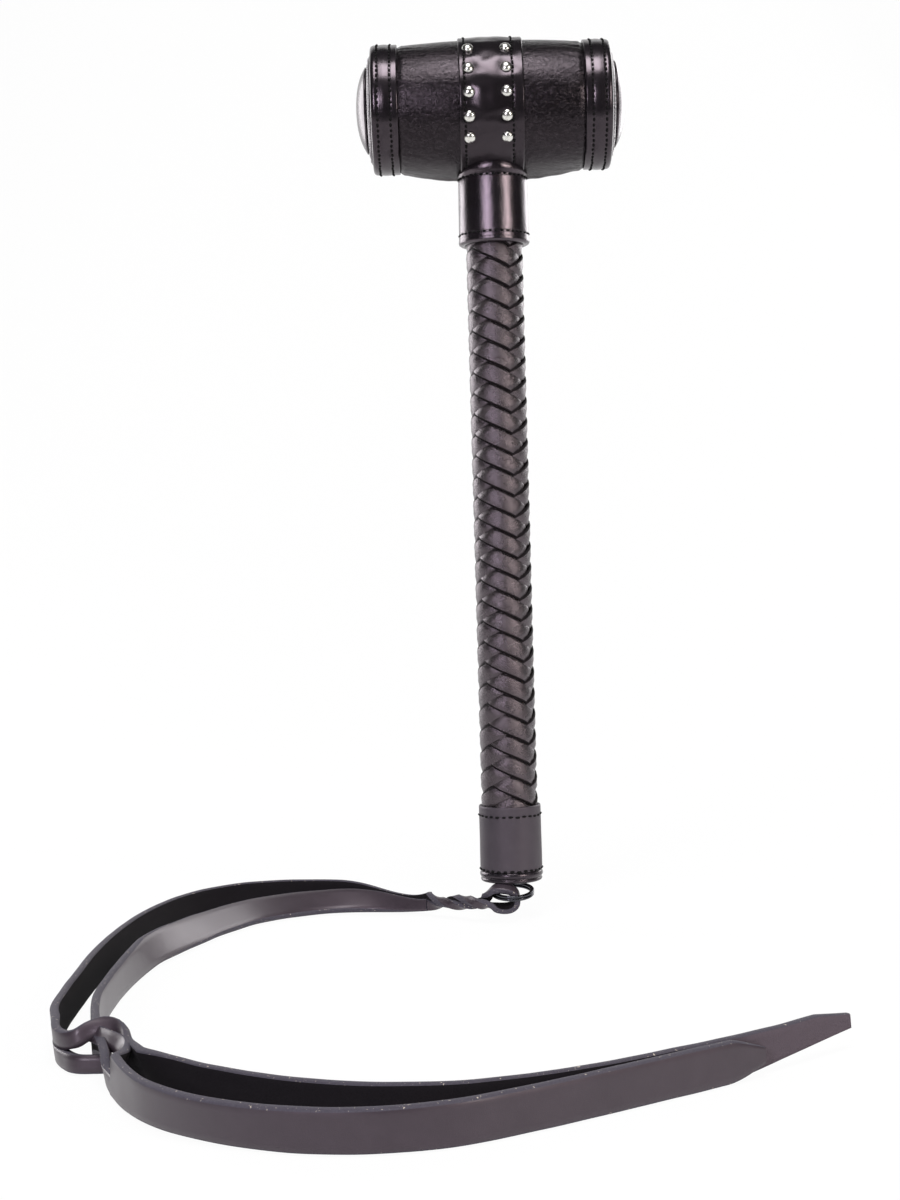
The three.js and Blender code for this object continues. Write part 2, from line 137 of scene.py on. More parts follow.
# Room: a dim, even light from all round. The camera sees it as white, and gloss sees next to
# nothing of it, so that the leather stays dark between the lamps.
world = bpy.data.worlds.new("studio")
world.use_nodes = True
bpy.context.scene.world = world
tree = world.node_tree
ray = node(tree, "ShaderNodeLightPath").outputs
seen = sum_of(tree, "MAXIMUM", ray["Is Camera Ray"], ray["Is Transmission Ray"])
room = sum_of(tree, "MULTIPLY_ADD", ray["Is Glossy Ray"], -0.20, 0.22)
sky = tree.nodes["Background"].inputs
sky["Color"].default_value = (1, 1, 1, 1)
tree.links.new(sum_of(tree, "MAXIMUM", seen, room), sky["Strength"])


# Studio light: a wide panel over the front, a tall strip at each side of the camera, the left one
# cool and the right one warm, and a large white panel behind the hammer at each side.
def softbox(name, place, target, size, power, tint=(1, 1, 1)):
    light = bpy.data.lights.new(name, "AREA")
    light.shape = "RECTANGLE"
    light.size, light.size_y = size
    light.energy = power
    light.color = tint
    lamp = linked(name, light)
    aim = Vector(target) - Vector(place)
    lamp.matrix_world = Matrix.Translation(place) @ aim.to_track_quat("-Z", "Y").to_matrix().to_4x4()
    lamp.visible_camera = False


softbox("panel_above", (0.0, -0.58, 1.38), (0, 0, 0.15), (0.62, 0.62), 15)
softbox("strip_left", (-0.60, -1.45, 0.40), (0, 0, 0.05), (0.26, 0.62), 10, (0.94, 0.90, 1.0))
softbox("strip_right", (1.13, -1.13, 0.40), (0, 0, 0.05), (0.26, 0.62), 11, (1.0, 0.95, 0.87))
softbox("panel_left", (-1.05, 0.80, 0.35), (0, 0, 0.10), (0.7, 0.9), 9)
softbox("panel_right", (0.85, 1.15, 0.55), (0, 0, 0.0), (0.7, 0.8), 7)

# Wrist strap: one lace of thick leather, folded in half through the ring. Its strands stand on
# edge, lean outward where they leave the ring, pass through slits in each other, and end in two
# cut tips. Both faces turn over in the slits, so the worn grain side shows at the back and front.
LACE_WIDTH = 0.0152
LACE_THICKNESS = 0.0035
SURFACE = -0.200
LACE_MIDDLE = SURFACE + LACE_WIDTH / 2

strand_a_route = [
    (-0.0434, 0.0089), (-0.058, 0.018), (-0.074, 0.025), (-0.091, 0.028), (-0.112, 0.021), (-0.133, 0.004),
    (-0.149, -0.025), (-0.1615, -0.060), (-0.170, -0.097), (-0.174, -0.133), (-0.1765, -0.165),
    (-0.177, -0.195), (-0.176, -0.222), (-0.173, -0.246), (-0.169, -0.266), (-0.164, -0.286),
    (-0.1575, -0.305), (-0.150, -0.324), (-0.142, -0.341), (-0.131, -0.358), (-0.117, -0.373),
    (-0.100, -0.386), (-0.080, -0.395), (-0.058, -0.398), (-0.032, -0.3935), (-0.005, -0.380),
    (0.025, -0.360), (0.045, -0.3465), (0.060, -0.3365), (0.0803, -0.3216),
]
strand_b_route = [
    (-0.0424, 0.0102), (-0.0561, 0.0213), (-0.0725, 0.0298), (-0.088, 0.036), (-0.104, 0.0405),
    (-0.120, 0.042), (-0.140, 0.037), (-0.158, 0.022), (-0.170, 0.000), (-0.1785, -0.028),
    (-0.184, -0.060), (-0.187, -0.100), (-0.1885, -0.140), (-0.189, -0.180), (-0.1885, -0.215),
    (-0.1870, -0.242), (-0.1838, -0.259), (-0.1778, -0.2708), (-0.170, -0.278), (-0.158, -0.2805),
    (-0.149, -0.288), (-0.1435, -0.300), (-0.138, -0.313), (-0.1295, -0.327), (-0.117, -0.340),
    (-0.100, -0.353), (-0.080, -0.364), (-0.058, -0.371), (-0.032, -0.373), (-0.005, -0.3675),
    (0.025, -0.3525), (0.045, -0.340), (0.060, -0.331), (0.084, -0.3132), (0.1165, -0.2840),
]
# At each route point: how far the lace leans to the strand's left, in degrees, and how far its
# middle lies to that side of the route, in millimetres.
strand_a_stance = [
    (-6, 0), (-24, 0), (-42, 0.5), (-52, 1.6), (-53, 1.7), (-52, 1.7), (-50, 1.2), (-38, 1.8), (-22, 0.4),
    (-6, 0.9), (0, 2.2), (0, 2.8), (0, 2.8), (0, 3.0), (0, 2.8), (0, 2.2), (2, 1.6), (2, 0.9), (-2, -0.4),
    (-8, -2.0), (-12, -2.4), (-12, -1.8), (-10, -1.4), (-8, -1.2), (-4, -0.4), (-2, 1.2), (-1, 1.8),
    (0, 2.6), (0, 3.2), (0, 3.4),
]
strand_b_stance = [
    (-6, 0), (-10, 0), (-8, 0), (-6, 0), (-6, 0), (-5, 0), (-5, 0), (-5, 0), (-6, 0), (-7, 0), (-8, 0),
    (-8, -0.5), (-4, -0.8), (-2, 0.2), (-2, 0.6), (-4, 1.0), (-4, 1.6), (-4, 0.6), (0, -0.5), (0, -0.5),
    (4, 0), (-20, -1.5), (-20, -1.5), (0, 0), (0, 0.8), (-2, 0.9), (-4, 0.9), (-3, 1.0), (0, 1.4),
    (2, 2.2), (2, 1.8), (2, 2.0), (2, 2.6), (3, 2.4), (4, 1.6),
]


def place_of(row):
    """A row's first three numbers."""
    return Vector(row[:3])


def centripetal(rows, spacing):
    """Runs a smooth line through rows, each of which starts with its place, at an even spacing."""
    rows = [Vector(row) for row in rows]
    rows = [2 * rows[0] - rows[1], *rows, 2 * rows[-1] - rows[-2]]
    fine = []
    for before, start, end, after in zip(rows, rows[1:], rows[2:], rows[3:]):
        gaps = [max((place_of(q) - place_of(p)).length ** 0.5, 1e-6)
                for p, q in ((before, start), (start, end), (end, after))]
        leave = (start - before) / gaps[0] - (end - before) / (gaps[0] + gaps[1]) + (end - start) / gaps[1]
        arrive = (end - start) / gaps[1] - (after - start) / (gaps[1] + gaps[2]) + (after - end) / gaps[2]
        leave, arrive = leave * gaps[1], arrive * gaps[1]
        for step in range(24):
            t = step / 24
            fine.append(start * (2 * t ** 3 - 3 * t ** 2 + 1) + leave * (t ** 3 - 2 * t ** 2 + t)
                        + end * (-2 * t ** 3 + 3 * t ** 2) + arrive * (t ** 3 - t ** 2))
    fine.append(rows[-2])
    lengths = [0.0]
    for p, q in zip(fine, fine[1:]):
        lengths.append(lengths[-1] + (place_of(q) - place_of(p)).length)
    count = max(2, round(lengths[-1] / spacing))
    even, at = [], 0
    for step in range(count + 1):
        target = lengths[-1] * step / count
        while at + 2 < len(lengths) and lengths[at + 1] < target:
            at += 1
        share = (target - lengths[at]) / max(lengths[at + 1] - lengths[at], 1e-9)
        even.append(fine[at].lerp(fine[at + 1], min(max(share, 0), 1)))
    return even, lengths[-1]


def heading(line, index):
    """The way a line runs at one of its points."""
    ahead, behind = line[min(index + 1, len(line) - 1)], line[max(index - 1, 0)]
    return (place_of(ahead) - place_of(behind)).normalized()


def across(along, lean):
    """The lace's width direction where it runs along and leans to its left by lean degrees."""
    left = Vector((0, 0, 1)).cross(along).normalized()
    upright = along.cross(left)
    return upright * math.cos(math.radians(lean)) + left * math.sin(math.radians(lean))


# The lace is cut narrow where it goes to the ring, and is lifted off the surface there.
NECK_SHARE = 0.41
NECK_LENGTH = 0.056
RAISED_LENGTH = 0.036
RAISED_POWER = 2.6


def width_share(distance):
    """How much of its full width a lace has at a distance from the ring's end."""
    t = min(distance / NECK_LENGTH, 1)
    return NECK_SHARE + (1 - NECK_SHARE) * t * t * (3 - 2 * t)


def standing(route, stance, neck_lift, spacing=0.0026):
    """Stations [middle, heading, width direction, lean] of a lace that stands on its lower edge."""
    rows = [(x, y, LACE_MIDDLE, lean, aside) for (x, y), (lean, aside) in zip(route, stance)]
    line, length = centripetal(rows, spacing)
    stations = []
    for index, row in enumerate(line):
        along = heading(line, index)
        lean = math.radians(row[3])
        left = Vector((0, 0, 1)).cross(along)
        distance = index * length / (len(line) - 1)
        half_width = LACE_WIDTH / 2 * width_share(distance)
        lift = neck_lift * max(0, 1 - distance / RAISED_LENGTH) ** RAISED_POWER
        height = half_width * math.cos(lean) + LACE_THICKNESS / 2 * abs(math.sin(lean)) + lift
        middle = Vector((row[0], row[1], SURFACE + height)) + left * row[4] * 0.001
        stations.append((middle, along, across(along, row[3]), row[3]))
    return stations, length


# The lace's outline, as shares of half its width and half its thickness, from the middle of the
# left face over the upper edge to the middle of the right face, and under the lower edge back.
UPPER_OUTLINE = [(0, 1), (0.3, 1), (0.6, 1), (0.9, 0.98), (0.975, 0.72), (1, 0.3),
                 (1, -0.3), (0.975, -0.72), (0.9, -0.98), (0.6, -1), (0.3, -1), (0, -1)]
LOWER_OUTLINE = [(-a, b) for a, b in reversed(UPPER_OUTLINE)]
FULL_OUTLINE = UPPER_OUTLINE + LOWER_OUTLINE[1:-1]


def outline_points(station, outline, widths, thickness, shift=0.0):
    """Lays an outline round a station. widths are its reach over and under the middle, and shift
    moves it along the width, as a share of that reach."""
    middle, along, width = station[:3]
    left = width.cross(along).normalized()
    points = []
    for a, b in outline:
        reach = widths[0] if a + shift > 0 else widths[1]
        points.append(middle + width * (a + shift) * reach + left * b * thickness)
    return points


def object_of(name, mesh):
    """Makes a bmesh an object in the scene, with its faces outward."""
    bmesh.ops.recalc_face_normals(mesh, faces=mesh.faces)
    data = bpy.data.meshes.new(name)
    mesh.to_mesh(data)
    mesh.free()
    return linked(name, data)


LEFT_FACE, RIGHT_FACE, CUT_EDGE = 0, 1, 2
OUTLINE_STEP = 0.0013
SLIT_STEP = 0.0015


class LaceMesh:
    """Gathers the rings of a lace and the strips of faces between them."""

    def __init__(self):
        self.mesh = bmesh.new()
        self.along = self.mesh.loops.layers.uv.new("UVMap")
        self.reach = {}

    def ring(self, points, distance):
        made = [self.mesh.verts.new(point) for point in points]
        for place, vert in enumerate(made):
            self.reach[vert] = (distance, place * OUTLINE_STEP)
        return made

    def strip(self, before, after, faces):
        for k, side in enumerate(faces):
            following = (k + 1) % len(before)
            face = self.mesh.faces.new((before[k], before[following], after[following], after[k]))
            face.material_index = side
            face.smooth = True

    def cap(self, ring):
        face = self.mesh.faces.new(ring)
        face.material_index = CUT_EDGE
        for edge in face.edges:
            edge.smooth = False

    def done(self, name):
        for face in self.mesh.faces:
            for loop in face.loops:
                loop[self.along].uv = self.reach[loop.vert]
        return object_of(name, self.mesh)


def side_of(outline):
    """Which face of the lace each strip between two outline points belongs to."""
    sides = []
    for (_, b), (_, c) in zip(outline, outline[1:] + outline[:1]):
        middle = (b + c) / 2
        sides.append(LEFT_FACE if middle > 0.97 else RIGHT_FACE if middle < -0.97 else CUT_EDGE)
    return sides


def turned_over(sides):
    swap = {LEFT_FACE: RIGHT_FACE, RIGHT_FACE: LEFT_FACE, CUT_EDGE: CUT_EDGE}
    return [swap[side] for side in sides]


def cut_tip(upper, lower):
    """Half widths above and below the middle, as shares, at each distance from the end. For each
    edge: where its cut starts, the share left at the end, and the power of the cut's curve."""
    def widths(left_over):
        return [1 - (1 - end) * max(0, 1 - left_over / start) ** power
                for start, end, power in (upper, lower)]
    return widths


def nearest(stations, route_point):
    x, y = route_point
    return min(range(len(stations)), key=lambda k: (stations[k][0].x - x) ** 2 + (stations[k][0].y - y) ** 2)


def strand(name, route, stance, neck_lift, slit, upper_way, lower_way, turns, tip):
    """A strand: whole up to one slit end, in two halves to the other, then whole again to its tip.
    Each half turns its other face out at its share of turns along the slit."""
    stations, length = standing(route, stance, neck_lift)
    spacing = length / (len(stations) - 1)
    first, last = (nearest(stations, route[index]) for index in slit)
    lace = LaceMesh()
    sides = side_of(FULL_OUTLINE)
    half = LACE_THICKNESS / 2

    def full_ring(index):
        distance = index * spacing
        high, low = tip(length - distance)
        uneven = 1 + 0.02 * noise.noise(Vector((distance * 60, len(route), 0)))
        reach = LACE_WIDTH / 2 * width_share(distance) * uneven
        points = outline_points(stations[index], FULL_OUTLINE, (reach * high, reach * low), half)
        return lace.ring(points, distance)

    rings = [full_ring(index) for index in range(first + 1)]
    lace.cap(rings[0])
    for before, after in zip(rings, rings[1:]):
        lace.strip(before, after, sides)
    opening, closing = rings[-1], full_ring(last)
    count = len(UPPER_OUTLINE)
    halves = []
    for way, outline, sign, turn in (
            (upper_way, UPPER_OUTLINE, 1, turns[0]), (lower_way, LOWER_OUTLINE, -1, turns[1])):
        ends = [stations[first], stations[last]]
        starts = [(*(end[0] + end[2] * sign * LACE_WIDTH / 4), end[3]) for end in ends]
        line, _ = centripetal([starts[0], *way, starts[1]], SLIT_STEP)
        halves.append([place_of(line[round(share * (len(line) - 1) / 12)]) for share in range(1, 12)])
        pick = [(k + (0 if sign > 0 else count - 1)) % len(FULL_OUTLINE) for k in range(count)]
        previous = [opening[k] for k in pick]
        half_sides = side_of(outline)
        for index in range(1, len(line)):
            share = index / (len(line) - 1)
            if share == 1:
                current = [closing[k] for k in pick]
            else:
                along = heading(line, index)
                station = (place_of(line[index]), along, across(along, line[index][3]))
                reach = LACE_WIDTH / 2 * (1 - 0.1 * math.sin(math.pi * share))
                points = outline_points(station, outline, (reach, reach), half * 0.95, -0.5 * sign)
                current = lace.ring(points, first * spacing + index * SLIT_STEP)
            lace.strip(previous, current, turned_over(half_sides) if share > turn else half_sides)
            previous = current
    rings = [closing] + [full_ring(index) for index in range(last + 1, len(stations))]
    for before, after in zip(rings, rings[1:]):
        lace.strip(before, after, turned_over(sides))
    lace.cap(rings[-1])
    between = [(high + low) / 2 for high, low in zip(*halves)]
    middles = [station[0] for station in stations]
    return lace.done(name), middles[:first + 1] + between + middles[last:]


strand_a, middle_a = strand(
    "strap_strand_a", strand_a_route, strand_a_stance, neck_lift=0.0024, slit=(14, 17),
    upper_way=[(-0.1655, -0.2755, -0.1878, 18), (-0.1610, -0.2860, -0.1872, 34),
               (-0.1560, -0.2930, -0.1872, 44), (-0.1512, -0.2985, -0.1880, 44),
               (-0.1486, -0.3090, -0.1894, 22)],
    lower_way=[(-0.1645, -0.2760, -0.1915, -6), (-0.1612, -0.2850, -0.1900, -16),
               (-0.1580, -0.2940, -0.1900, -24), (-0.1556, -0.3030, -0.1915, -20),
               (-0.1538, -0.3120, -0.1945, -10)],
    turns=(0.30, 0.78), tip=cut_tip((0.015, 0.38, 1.1), (0.018, 0.42, 1.6)))
strand_b, middle_b = strand(
    "strap_strand_b", strand_b_route, strand_b_stance, neck_lift=0.0058, slit=(16, 22),
    upper_way=[(-0.1792, -0.2740, -0.1892, -6), (-0.1748, -0.2815, -0.1893, 0),
               (-0.1700, -0.2850, -0.1880, 10), (-0.1650, -0.2835, -0.1855, 24),
               (-0.1598, -0.2826, -0.1842, 38), (-0.1560, -0.2838, -0.1848, 38),
               (-0.1528, -0.2878, -0.1868, 30), (-0.1496, -0.2960, -0.1890, 16)],
    lower_way=[(-0.1788, -0.2740, -0.1962, -6), (-0.1745, -0.2835, -0.1963, 0),
               (-0.1690, -0.2905, -0.1963, 6), (-0.1615, -0.2915, -0.1963, 8),
               (-0.1550, -0.2915, -0.1963, 6), (-0.1490, -0.2955, -0.1960, 4),
               (-0.1440, -0.3030, -0.1960, 0)],
    turns=(0.85, 0.6), tip=cut_tip((0.018, 0.68, 1.0), (0.060, 0.05, 0.83)))


def leather_skin():
    """Node group: pebbles, fine pores and slow tone of a dyed hide."""
    group = bpy.data.node_groups.new("leather_skin", "ShaderNodeTree")
    for label, kind in (("Vector", "Vector"), ("Pebbles", "Float"), ("Pores", "Float")):
        group.interface.new_socket(label, in_out="INPUT", socket_type="NodeSocket" + kind)
    for label in ("Height", "Tone"):
        group.interface.new_socket(label, in_out="OUTPUT", socket_type="NodeSocketFloat")
    given, result = group.nodes.new("NodeGroupInput").outputs, group.nodes.new("NodeGroupOutput").inputs
    vector = given["Vector"]
    bend = node(group, "ShaderNodeTexNoise", {"Vector": vector, "Scale": 500.0, "Detail": 2.0})
    bent = node(group, "ShaderNodeVectorMath", {
        0: bend.outputs["Color"], 1: (0.0011, 0.0011, 0.0011), 2: vector}, operation="MULTIPLY_ADD")
    pebble = node(group, "ShaderNodeTexVoronoi", {"Vector": bent.outputs[0], "Scale": 700.0},
                  feature="SMOOTH_F1")
    pore, tone = (node(group, "ShaderNodeTexNoise", {
        "Vector": vector, "Scale": scale, "Detail": 4.0, "Roughness": 0.6}).outputs["Fac"]
        for scale in (2600.0, 90.0))
    raised = sum_of(group, "SUBTRACT", 0.7, pebble.outputs["Distance"])
    high = sum_of(group, "MULTIPLY", raised, given["Pebbles"])
    group.links.new(sum_of(group, "MULTIPLY_ADD", pore, given["Pores"], high), result["Height"])
    group.links.new(tone, result["Tone"])
    return group


skin = leather_skin()


def shade(tree, amount, dark, light):
    """Runs from one colour to another, each given as three numbers or a socket."""
    dark, light = (end if isinstance(end, bpy.types.NodeSocket) else (*end, 1) for end in (dark, light))
    return node(tree, "ShaderNodeMix", {0: amount, 6: dark, 7: light}, data_type="RGBA").outputs[2]


def leather(name, dark, light, roughness, pebbles, pores, depth, specular=0.5, coat=0.0, spread=0.12):
    """A dyed hide: its tone and gloss wander a little, and its skin stands out by depth metres."""
    material, tree, shader = finish(
        name, Specular_IOR_Level=specular, Specular_Tint=(1.0, 0.82, 0.94, 1), Coat_Weight=coat,
        Coat_Roughness=0.25)
    hide = node(tree, "ShaderNodeGroup", node_tree=skin)
    tree.links.new(node(tree, "ShaderNodeTexCoord").outputs["Object"], hide.inputs["Vector"])
    hide.inputs["Pebbles"].default_value = pebbles
    hide.inputs["Pores"].default_value = pores
    tone = hide.outputs["Tone"]
    bump = node(tree, "ShaderNodeBump", {"Height": hide.outputs["Height"], "Distance": depth})
    tree.links.new(shade(tree, tone, dark, light), shader.inputs["Base Color"])
    tree.links.new(sum_of(tree, "MULTIPLY_ADD", tone, spread, roughness - spread / 2),
                   shader.inputs["Roughness"])
    tree.links.new(bump.outputs[0], shader.inputs["Normal"])
    return material


def speckled(name, texture, dark, light, relief=0.0, gloss=None, stretch=None, **sockets):
    """A finish whose colour follows a fine noise. The noise also stands out by relief metres, and
    gloss is how much of it goes into the roughness, and from what roughness on."""
    material, tree, shader = finish(name, **sockets)
    place = node(tree, "ShaderNodeTexCoord").outputs["Object"]
    if stretch:
        place = node(tree, "ShaderNodeMapping", {"Vector": place, "Scale": stretch}).outputs[0]
    speck = node(tree, "ShaderNodeTexNoise", {"Vector": place, **texture}).outputs["Fac"]
    tree.links.new(shade(tree, speck, dark, light), shader.inputs["Base Color"])
    if relief:
        raised = node(tree, "ShaderNodeBump", {"Height": speck, "Distance": relief})
        tree.links.new(raised.outputs[0], shader.inputs["Normal"])
    if gloss:
        tree.links.new(sum_of(tree, "MULTIPLY_ADD", speck, *gloss), shader.inputs["Roughness"])
    return material


def colour_over(material, amount, colour):
    """Lays a colour over a speckled finish, by an amount from 0 to 1."""
    tree = material.node_tree
    tree.links.new(shade(tree, amount, tree.nodes["Mix"].outputs[2], colour),
                   tree.nodes["Principled BSDF"].inputs["Base Color"])


grain = leather("strap_grain_side", (0.022, 0.0165, 0.0215), (0.042, 0.0325, 0.041), 0.44, 0.15, 0.6,
                0.00012, coat=0.25)
flesh = speckled("strap_flesh_side", {"Scale": 2200.0, "Detail": 5.0, "Roughness": 0.7},
                 (0.004, 0.0033, 0.0044), (0.016, 0.0135, 0.0165), 0.0003, Roughness=0.95,
                 Specular_IOR_Level=0.12)
# Towards the free ends, from x 0.052 to 0.074, the flesh side is painted lighter: painted light where the
# strands stand clear of each other's shade.
tree = flesh.node_tree
reach = node(tree, "ShaderNodeSeparateXYZ", {"Vector": tree.nodes["Texture Coordinate"].outputs["Object"]})
lit_tip_share = node(tree, "ShaderNodeMapRange", {
    "Value": reach.outputs["X"], "From Min": 0.052, "From Max": 0.074})
lit_tip_tone = shade(tree, tree.nodes["Noise Texture"].outputs["Fac"], (0.064, 0.051, 0.062), (0.118, 0.095, 0.114))
colour_over(flesh, lit_tip_share.outputs[0], lit_tip_tone)
cut = speckled("strap_cut_edge", {"Scale": 1400.0, "Detail": 6.0, "Roughness": 0.65},
               (0.026, 0.022, 0.032), (0.080, 0.071, 0.096), 0.0003, Roughness=0.8)
tree = cut.node_tree
speck = node(tree, "ShaderNodeTexNoise", {
    "Vector": tree.nodes["Texture Coordinate"].outputs["Object"], "Scale": 900.0, "Detail": 3.0})
colour_over(cut, sum_of(tree, "MULTIPLY_ADD", speck.outputs["Fac"], 14, -9.2), (0.52, 0.46, 0.38))
for made, faces in ((strand_a, (grain, flesh, cut)), (strand_b, (flesh, grain, cut))):
    for material in faces:
        made.data.materials.append(material)


def run_length(points):
    return sum((q - p).length for p, q in zip(points, points[1:]))


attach(strand_a, "hammer")
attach(strand_b, "hammer")
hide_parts("strap_strand_a_back", "strap_strand_a_front", "strap_knot")
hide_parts("strap_strand_b_back", "strap_strand_b_front")
for made, middle in ((strand_a, middle_a), (strand_b, middle_b)):
    round(run_length(middle), 3)

# Fold of the strap at the ring: the same lace, cut narrower. It runs round the ring's wire, and its
# two limbs twist together like a rope before they open into the strands.
RING_TILT = math.radians(11.3)
RING_CENTRE = Vector((0, -0.01037, -0.185275))


def by_the_ring(across_ring, forward, above):
    """A place given in millimetres from the ring's centre, in the ring's own tilted plane."""
    front = Vector((0, -math.cos(RING_TILT), -math.sin(RING_TILT)))
    up = Vector((0, -math.sin(RING_TILT), math.cos(RING_TILT)))
    return RING_CENTRE + 0.001 * (Vector((across_ring, 0, 0)) + front * forward + up * above)


LIMB_WIDTH = 0.0046
LIMB_THICKNESS = 0.0034
FOLD_WIDTH = 0.0068
FOLD_THICKNESS = 0.0033
ROPE_SPREAD = 0.00178
ROPE_STEP = 0.0011
FOLD_STEP = 0.0007
rope_middles = [
    Vector(middle_a[0]).lerp(middle_b[0], 0.5), Vector((-0.0365, 0.0043, -0.1922)),
    Vector((-0.0300, -0.0008, -0.1916)), Vector((-0.0225, -0.0066, -0.1909)), by_the_ring(-15.2, 3.0, -4.2)]
# Places round the wire, in millimetres, and which way the lace's outer face looks at each.
fold_line = [
    (-12.0, 4.8, -5.0, (0, 0.35, -0.8)), (-8.6, 4.8, -6.5, (0, -0.1, -1)), (-4.8, 4.7, -7.1, (0, -0.3, -1)),
    (-1.2, 4.6, -6.7, (0.45, -0.3, -0.9)), (1.3, 4.5, -4.9, (0.9, -0.15, -0.5)), (2.1, 4.4, -2.2, (1, 0, 0)),
    (1.3, 4.3, 0.7, (0.8, 0.1, 0.5)), (-1.4, 4.2, 2.6, (0.4, 0.25, 0.9)), (-5.2, 4.0, 3.3, (0, 0.25, 1)),
    (-9.2, 3.4, 2.9, (-0.4, 0, 0.9)), (-11.4, 2.6, 0.9, (-0.7, -0.3, 0.6)),
]


def rope_limb(place_start, face_start, finish_turn):
    """Stations [place, outward direction, width, thickness] of one limb, from its strand to the fold.
    Its place in the rope and the way it faces both turn, from their starts to the same finish."""
    line, _ = centripetal(rope_middles, ROPE_STEP)
    strand_width = NECK_SHARE * LACE_WIDTH
    stations = []
    for index, middle in enumerate(line):
        share = index / (len(line) - 1)
        along = heading(line, index)
        side = along.cross(Vector((0, 0, 1))).normalized()
        above = side.cross(along).normalized()
        away, outward = (
            side * math.sin(turn) + above * math.cos(turn)
            for turn in (2 * math.pi * (start + (finish_turn - start) * share)
                         for start in (place_start, face_start)))
        spread = ROPE_SPREAD - 0.0002 * math.sin(math.pi * share) + 0.0006 * max(0, share - 0.7) / 0.3
        width = strand_width + (LIMB_WIDTH - strand_width) * min(share / 0.35, 1) ** 0.8
        stations.append((Vector(middle) + away * spread, outward, width, LIMB_THICKNESS))
    return stations


limb_a, limb_b = rope_limb(0.46, 0.26, 1.306), rope_limb(0.96, 0.76, 1.806)
fold = []
for across_ring, forward, above, faces in fold_line:
    outward = (by_the_ring(*faces) - RING_CENTRE).normalized()
    fold.append((by_the_ring(across_ring, forward, above), outward, FOLD_WIDTH, FOLD_THICKNESS))
knots = limb_a[:-1] + fold + limb_b[-2::-1]
rows = [(*place, *outward, width * 10, thickness * 10) for place, outward, width, thickness in knots]
fine, _ = centripetal(rows, FOLD_STEP)
pressed = [(a * (1 - 0.06 * abs(b)), b * (1 - 0.11 * a * a)) for a, b in FULL_OUTLINE]
bight_mesh = LaceMesh()
rings = []
for index, row in enumerate(fine):
    along = heading(fine, index)
    outward = Vector(row[3:6])
    outward = (outward - along * outward.dot(along)).normalized()
    width, thickness = row[6] / 10, row[7] / 10
    station = (place_of(row), along, along.cross(outward))
    points = outline_points(station, pressed, (width / 2, width / 2), thickness / 2)
    rings.append(bight_mesh.ring(points, index * FOLD_STEP))
for before, after in zip(rings, rings[1:]):
    bight_mesh.strip(before, after, side_of(FULL_OUTLINE))
for end in (rings[0], rings[-1]):
    bight_mesh.cap(end)
bight = bight_mesh.done("strap_fold")
for material in (grain, flesh, cut):
    bight.data.materials.append(material)
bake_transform(bight)
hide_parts("strap_bight")

# Wooden core: a turned beech head and a handle whose wedged tenon holds it. Both are hidden by the
# leather, and keep their CAD shape under a plain oiled grain.
beech = speckled("turned_beech", {"Scale": 1.0, "Detail": 5.0}, (0.33, 0.18, 0.07), (0.55, 0.36, 0.18),
                 0.0002, stretch=(300, 300, 18), Roughness=0.6)
for name in ("head_core", "handle_core", "tenon_wedge"):
    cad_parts[name].data.materials[0] = beech

# Felt plugs: discs of pressed wool that fill the domed faces, hidden behind the pads. They keep
# their CAD shape.
felt = speckled("pressed_wool_felt", {"Scale": 1500.0, "Detail": 6.0}, (0.22, 0.20, 0.17), (0.40, 0.37, 0.32),
                0.0004, Roughness=0.95)
for name in ("face_felt_left", "face_felt_right"):
    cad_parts[name].data.materials[0] = felt

# Head sleeve: one tube of pebbled leather round the core, barrel-shaped, gathered into fine folds
# where the end bands pull it in, and lapped in a seam underneath.
HEAD_HEIGHT = 0.212
HEAD_END = 0.060
BAND_INNER_EDGE = 0.0465
SLEEVE_END = 0.0583
SLEEVE_MIDDLE_RADIUS = 0.0330
SLEEVE_END_RADIUS = 0.0304
SLEEVE_THICKNESS = 0.0015
SLEEVE_FLAT = 0.016
FALL_AT_BAND = 0.62
TUCK_LENGTH = 0.0013
GATHER_DEPTH = 0.00045
SLEEVE_UNEVENNESS = 0.00028
SEAM_AT_BAND = 0.0008
SEAM_MORE_INWARD = 0.0028


def skinned(name, rings, looped=True, closed=True, capped=False):
    """Covers rings of points with faces. The last ring joins the first if looped, and each ring's
    last point joins its first if closed."""
    mesh = bmesh.new()
    rings = [[mesh.verts.new(point) for point in ring] for ring in rings]
    count = len(rings[0])
    for before, after in zip(rings, rings[1:] + rings[:1] if looped else rings[1:]):
        for k in range(count if closed else count - 1):
            following = (k + 1) % count
            mesh.faces.new((before[k], after[k], after[following], before[following]))
    if capped:
        mesh.faces.new(rings[0])
        mesh.faces.new(rings[-1])
    bmesh.ops.remove_doubles(mesh, verts=mesh.verts, dist=1e-7)
    for face in mesh.faces:
        face.smooth = True
    return object_of(name, mesh)


def wall(name, outline, segments, bulge=None, closed=True):
    """Turns an outline of (radius, height) points round Z. bulge moves a point outward."""
    rings = []
    for step in range(segments):
        angle = 2 * math.pi * step / segments
        ring = []
        for radius, height in outline:
            reach = radius + (bulge(radius, height, angle) if bulge else 0.0)
            ring.append((reach * math.cos(angle), reach * math.sin(angle), height))
        rings.append(ring)
    return skinned(name, rings, closed=closed)


ALONG_X = Matrix(((0, 0, 1, 0), (0, 1, 0, 0), (-1, 0, 0, 0), (0, 0, 0, 1)))
HEAD_PLACE = Matrix.Translation((0, 0, HEAD_HEIGHT)) @ ALONG_X
LEFT_PLACE = Matrix.Diagonal((-1, 1, 1, 1)) @ HEAD_PLACE
HANDLE_PLACE = Matrix.Identity(4)
ENDS = (("right", HEAD_PLACE), ("left", LEFT_PLACE))


def settle(made, place, *materials):
    """Moves the mesh itself into place, keeps its faces outward and gives it its finishes."""
    made.data.transform(place)
    if place.determinant() < 0:
        made.data.flip_normals()
    for material in materials:
        made.data.materials.append(material)
    return made


